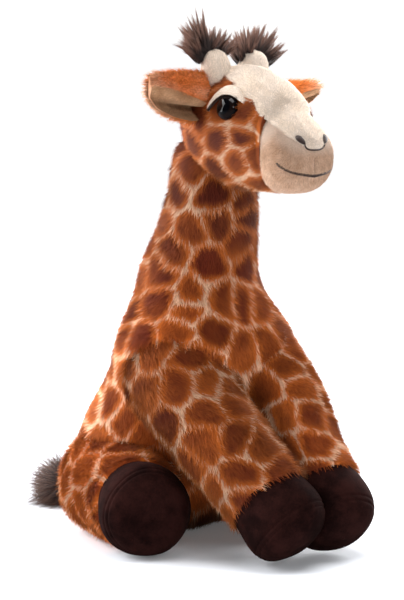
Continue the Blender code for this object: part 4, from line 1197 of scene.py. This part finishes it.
def make_horn(side, sign):
    """A stuffed post of cream velour, and the tuft of long pile sewn over the back of its top."""
    extra, peak, taller, leaning, seat, aside = TUFTS[side]
    root = Vector((sign * HORN_ROOT[0], HORN_ROOT[1], HORN_ROOT[2]))
    turn = limb_turn(sign * 90, HORN_LEAN - 90)
    rings = axis_rings([(HORN_LENGTH * along, HORN_RADIUS * share) for along, share in HORN_RINGS])
    post = Skin(loft(rings, *HORN_GRID, turn, root))
    post.swell(waves(post.points, 0.014, 70 + sign) * 0.0005)
    piece(f"{side}_horn_velour", post, "head", "cream", [f"{side}_horn"], 0.7)
    nap(f"{side}_horn_nap", post, "head", "cream", (0, 0.2, 1), keep=lambda p: p[:, 2] > HORN_FOOT)
    draw = np.random.default_rng(80 + sign)
    axis, out, back = axis_of(turn), np.array((sign * 1.0, 0.0, 0.0)), np.array((0.0, 1.0, 0.0))
    top = np.array(root) + axis * seat + out * aside
    # Roots lie in a band round the back of the top, from the inner side to down the outer side.
    spread = draw.uniform(-1, 1, TUFT_CLUMPS)
    deep = draw.uniform(0, 1, TUFT_CLUMPS)
    seats = (
        top
        + out * (0.0010 + 0.0085 * spread)[:, None]
        + back * (0.0025 + 0.0055 * deep * (1 - 0.6 * spread**2))[:, None]
        - axis * (0.0045 * spread**2 + 0.0030 * deep)[:, None]
    )
    heads = axis[None] * draw.uniform(0.65, 1.1, (TUFT_CLUMPS, 1)) + out * (spread * 0.74 + leaning)[:, None]
    heads = unit(heads + back * (deep - 0.35)[:, None] * 0.8 + draw.normal(size=(TUFT_CLUMPS, 3)) * 0.17)
    reach = draw.uniform(*TUFT_REACH, TUFT_CLUMPS) + taller + extra * np.exp(-(((spread - peak) / 0.32) ** 2))
    which = draw.integers(0, TUFT_CLUMPS, TUFT_FIBRES)
    scatter = unit(draw.normal(size=(TUFT_FIBRES, 3)))
    roots = seats[which] + scatter * draw.uniform(0.0003, 0.0022, (TUFT_FIBRES, 1))
    lengths = reach[which] * draw.uniform(*TUFT_SHARES, TUFT_FIBRES)
    tips = seats[which] + heads[which] * lengths[:, None] + scatter * draw.uniform(0.0, 0.0009, (TUFT_FIBRES, 1))
    droop = draw.normal(size=(TUFT_CLUMPS, 3))[which] * 0.0012
    grown = roots, unit(tips - roots), unit(scatter + heads[which]), lengths, TUFT_WIDTH, droop
    long_tuft(f"{side}_horn_tuft_pile", "head", *grown, 1.1, f"{side}_horn_tuft")


EAR_ROOT, EAR_TIP = -0.0205, -0.0690  # how far out the right ear starts and ends
EAR_BACK, EAR_MIDDLE = -0.0655, 0.284
EAR_STATIONS = (0.0, 0.3, 0.6, 0.85, 0.97, 1.0)
EAR_ROWS, EAR_COLUMNS = 44, 40
EAR_BARE = 0.0225  # no pile nearer to the middle than this, inside the head's own
# Each row goes round the ear's section, in millimetres forward and up, from the lower rim to the flap's rim.
EAR_OUTSIDE = (
    ((2, -13), (-3, -12), (-9, -5), (-10, 5), (-4, 13), (2, 15.8), (7, 7), (7, -7)),
    ((3, -15), (-3, -13), (-10, -6), (-11, 5), (-4, 13), (2, 15.8), (7, 8.5), (7.5, -1)),
    ((3, -12.5), (-2, -11), (-8, -5), (-8, 5), (-3, 12.5), (2, 15.5), (5.5, 10), (6.5, 4)),
    ((2, -7.5), (-2, -6), (-4, -2), (-4, 5), (-2, 12), (1, 15.2), (4, 12), (4.5, 7)),
    ((1, -4), (-1, -3), (-2, 0), (-2, 5), (-1, 11), (0.5, 14.8), (2, 12), (3, 7.5)),
    ((0.8, 2), (0.4, 2), (0, 3), (0, 5), (0, 9), (0.5, 13), (1, 11), (1.2, 8)),
)
EAR_INSIDE = (
    ((2, -13), (-1, -11), (-5, -9.5), (-6, -8), (-4, -6), (1, -7), (5, -7), (7, -7)),
    ((3, -15), (0, -12), (-6, -9), (-9, -6), (-7, -3.8), (4, -5.5), (7.8, -3.5), (7.5, -1)),
    ((3, -12.5), (0, -10), (-4, -7), (-6.5, -4.5), (-4.5, -2.6), (4.5, -3.5), (7.4, -0.5), (6.5, 4)),
    ((2, -7.5), (0.5, -6), (-1, -4), (-1, -2.5), (0.5, -1), (2.8, 1.0), (4.4, 3.5), (4.5, 7)),
    ((1, -4), (1, -3), (0.8, -2), (0.8, -0.5), (1.2, 1), (2, 3), (2.8, 5), (3, 7.5)),
    ((0.8, 2), (0.9, 2.2), (0.9, 3), (1.0, 4), (1.1, 5), (1.2, 6), (1.3, 7), (1.2, 8)),
)


def ear_sheet(table, sign, lift=0.0):
    """One side of an ear's cloth as a grid, from the root to the tip."""
    around = np.array([spline(row, EAR_COLUMNS) for row in table])
    stations = np.linspace(0, 1, EAR_ROWS)
    grid = np.empty((EAR_ROWS, EAR_COLUMNS, 3))
    for k in range(EAR_COLUMNS):
        lines = [np.interp(stations, EAR_STATIONS, around[:, k, axis]) for axis in (0, 1)]
        lines = [np.convolve(np.pad(line, 3, "edge"), np.ones(7) / 7, "valid") for line in lines]
        grid[:, k, 1] = EAR_BACK - lines[0] * MM
        grid[:, k, 2] = EAR_MIDDLE + lines[1] * MM
    stations = stations[:, None]
    grid[:, :, 0] = -sign * (EAR_ROOT + (EAR_TIP - EAR_ROOT) * stations)
    grid[:, :, 1] -= lift + 0.003 * stations**2
    if sign > 0:
        top = EAR_MIDDLE + 0.0155  # the far ear hangs a little lower, and is folded narrower towards its tip
        grid[:, :, 2] = top - (top - grid[:, :, 2]) * (1 - 0.50 * stations) - 0.0066 - 0.0014 * stations
    return grid


class EarPatches:
    """The ear's plush is one patch, paler towards its rims, and brightened all over as painted light."""

    def patch(self, points):
        paler = fade(np.abs(points[:, 0]), 0.059, 0.010)
        streaks = waves(points, 0.018, 90) * 0.30 + waves(points * (0.35, 1, 1), 0.006, 91) * 0.18
        return 0.95 + streaks - paler * 0.7, 1.40 - 0.35 * paler, np.full(len(points), 0.6)


def make_ear(side, sign):
    """A cupped ear: plush outside, folded over in front at the top, and lined with velour."""
    ear = f"{side}_ear"
    outside, inside = ear_sheet(EAR_OUTSIDE, sign), ear_sheet(EAR_INSIDE, sign, 0.0004)
    shell = Skin(np.concatenate([outside, inside[:, -2:0:-1]], axis=1))
    coat(f"{ear}_skin", shell, ear, ear, EarPatches(), 0.4)
    inner = ear_sheet(EAR_INSIDE, sign, 0.0012)[:, 1:-1]
    lining = Skin(inner, (False, False), around=False, out=(0, -1, -0.6))
    piece(f"{ear}_lining_velour", lining, ear, "ear_beige", [f"{ear}_lining"], 0.4)
    nap(f"{ear}_lining_nap", lining, ear, "ear_beige", (sign * 1.0, 0, -0.3), length=0.0013)
    back = Skin(outside, (False, False), around=False, out=(0, 1, 0.8))
    how = {"lift": 32, "clump": 0.65, "keep": lambda p: np.abs(p[:, 0]) > EAR_BARE, "seed": 90 + sign}
    pile(f"{ear}_pile", back, ear, *EAR_PILE, brushed(sign * 1.0, 0, -0.12), EarPatches(), **how)


TAIL_ROOT, TAIL_HEADING, TAIL_GRID = (0, 0.04532, 0.012), 180 + 14, (60, 40)
TAIL_LENGTH, TAIL_RADIUS = 0.046, 0.0085
TAIL_SHARES = ((0, 1), (0.5, 0.93), (0.94, 1), (1.0, 0.9), (1.03, 0.4), (1.04, 0.05))
TAIL_CLUMPS, TAIL_FIBRES, TAIL_WIDTH, TAIL_REACH = 120, 6500, 0.00038, (0.020, 0.034)


def make_tail():
    root, turn = Vector(TAIL_ROOT), limb_turn(TAIL_HEADING, 0)
    skin = Skin(loft(axis_rings(limb_profile(TAIL_RADIUS, TAIL_LENGTH, TAIL_SHARES)), *TAIL_GRID, turn, root))
    skin.keep_off_floor()
    seeds, axis = Seeds(skin, (), 27, space=0.013), axis_of(turn)
    coat("tail_skin", skin, "tail", "tail_stub", seeds)
    pile("tail_pile", skin, "tail", *TAIL_PILE, brushed(*(axis + (0, 0, -0.25))), seeds, seed=14)
    draw = np.random.default_rng(95)
    core = np.array(root) + axis * TAIL_LENGTH + np.array((0, 0, 0.001))
    heads = unit(axis * 0.9 + draw.normal(size=(TAIL_CLUMPS, 3)) * 0.45)
    heads[:, 2] = heads[:, 2] * 0.9 + 0.06
    reach = draw.uniform(*TAIL_REACH, TAIL_CLUMPS)
    which = draw.integers(0, TAIL_CLUMPS, TAIL_FIBRES)
    scatter = unit(draw.normal(size=(TAIL_FIBRES, 3)))
    roots = core + scatter * draw.uniform(0.002, 0.0085, (TAIL_FIBRES, 1))
    roots = roots + axis * draw.uniform(-0.004, 0.006, (TAIL_FIBRES, 1))
    lengths = reach[which] * draw.uniform(*TUFT_SHARES, TAIL_FIBRES)
    droop = np.array((0, 0, -0.0030)) + draw.normal(size=(TAIL_FIBRES, 3)) * 0.001
    ways, normals = unit(heads[which] + scatter * 0.32), unit(scatter + heads[which] * 0.5)
    long_tuft("tail_tuft_pile", "tail", roots, ways, normals, lengths, TAIL_WIDTH, droop, 0.62, "tail_tuft")


def dress_frame():
    """Gives the inner pieces, which stay as the CAD made them, their cloth and filling."""
    for name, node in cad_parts.items():
        for word in ("filling", "pellet_bag", "washer"):
            if word in name:
                node.data.materials.clear()
                node.data.materials.append(LOOKS[word])


# -------- studio

FLOOR_REACH = 30.0
AIM = (0, -0.03, 0.16)
LIGHTS = (
    ("top", (0.05, -0.30, 1.35), (0.8, 0.8), 15),
    ("near_side", (-0.85, 1.15, 0.65), (1.8, 1.8), 84),
    ("far_side", (1.25, 0.15, 0.55), (0.9, 1.0), 32),
    ("front", (-0.35, -1.40, 0.75), (0.16, 0.16), 3.5),
)


def make_floor():
    corners = np.array(((-1, -1, 0), (1, -1, 0), (1, 1, 0), (-1, 1, 0))) * FLOOR_REACH
    floor = placed("floor", mesh_of("floor", corners, np.array([[0, 1, 2, 3]])))
    n = new_look("floor", "", "floor")
    shade = n.mix(n.noise(3.0, 1.0), colour(228, 232, 240), colour(236, 239, 244))
    glossy = n.math("MULTIPLY", n.add("LightPath").outputs["Is Glossy Ray"], 0.85)  # it hardly shows in the eyes
    spot = n.add("SeparateXYZ", {0: n.add("NewGeometry").outputs["Position"]}).outputs
    far = n.math("SQRT", n.math("ADD", n.math("POWER", spot[0], 2.0), n.math("POWER", spot[1], 2.0)))
    glow = n.math("MULTIPLY", n.ramp(far, 0.12, 0.8, 0.08, 0.80), n.math("SUBTRACT", 1.0, glossy))
    n.surface(Base_Color=n.mix(glossy, shade, colour(10, 10, 12)), Roughness=0.6, Specular_IOR_Level=0.2)
    n.surface(Emission_Color=(1, 1, 1, 1), Emission_Strength=glow)
    floor.data.materials.append(LOOKS["floor"])


def make_studio():
    make_floor()
    world = bpy.data.worlds.new("studio")
    bpy.context.scene.world = world
    world.use_nodes = True
    n = Nodes(world.node_tree)
    path = n.add("LightPath").outputs
    # The backdrop is burnt out white, lights the toy softly, and hardly shows in what is glossy.
    strength = n.math("ADD", 0.35, n.math("MULTIPLY", path["Is Camera Ray"], 0.76))
    strength = n.math("SUBTRACT", strength, n.math("MULTIPLY", path["Is Glossy Ray"], 0.33))
    backdrop = world.node_tree.nodes["Background"].inputs
    n.feed(backdrop["Strength"], strength)
    n.feed(backdrop["Color"], (1, 1, 1, 1))
    bpy.context.scene.view_settings.view_transform = "Standard"
    for name, place, size, watts in LIGHTS:
        data = bpy.data.lights.new(name, "AREA")
        data.shape, data.size, data.size_y, data.energy = "RECTANGLE", *size, watts
        light = placed(name, data)
        light.location = place
        light.rotation_euler = (Vector(AIM) - Vector(place)).to_track_quat("-Z", "Y").to_euler()


make_camera()
make_studio()
head, muzzle, face_edge = make_coats()
make_muzzle(muzzle, face_edge)
face = make_face(head, muzzle, face_edge)
make_nose_line((face, muzzle))
for side, sign in SIDES:
    make_eye(side, sign, head)
    make_horn(side, sign)
    make_ear(side, sign)
for leg in LEGS:
    make_hoof(*leg)
make_tail()
dress_frame()
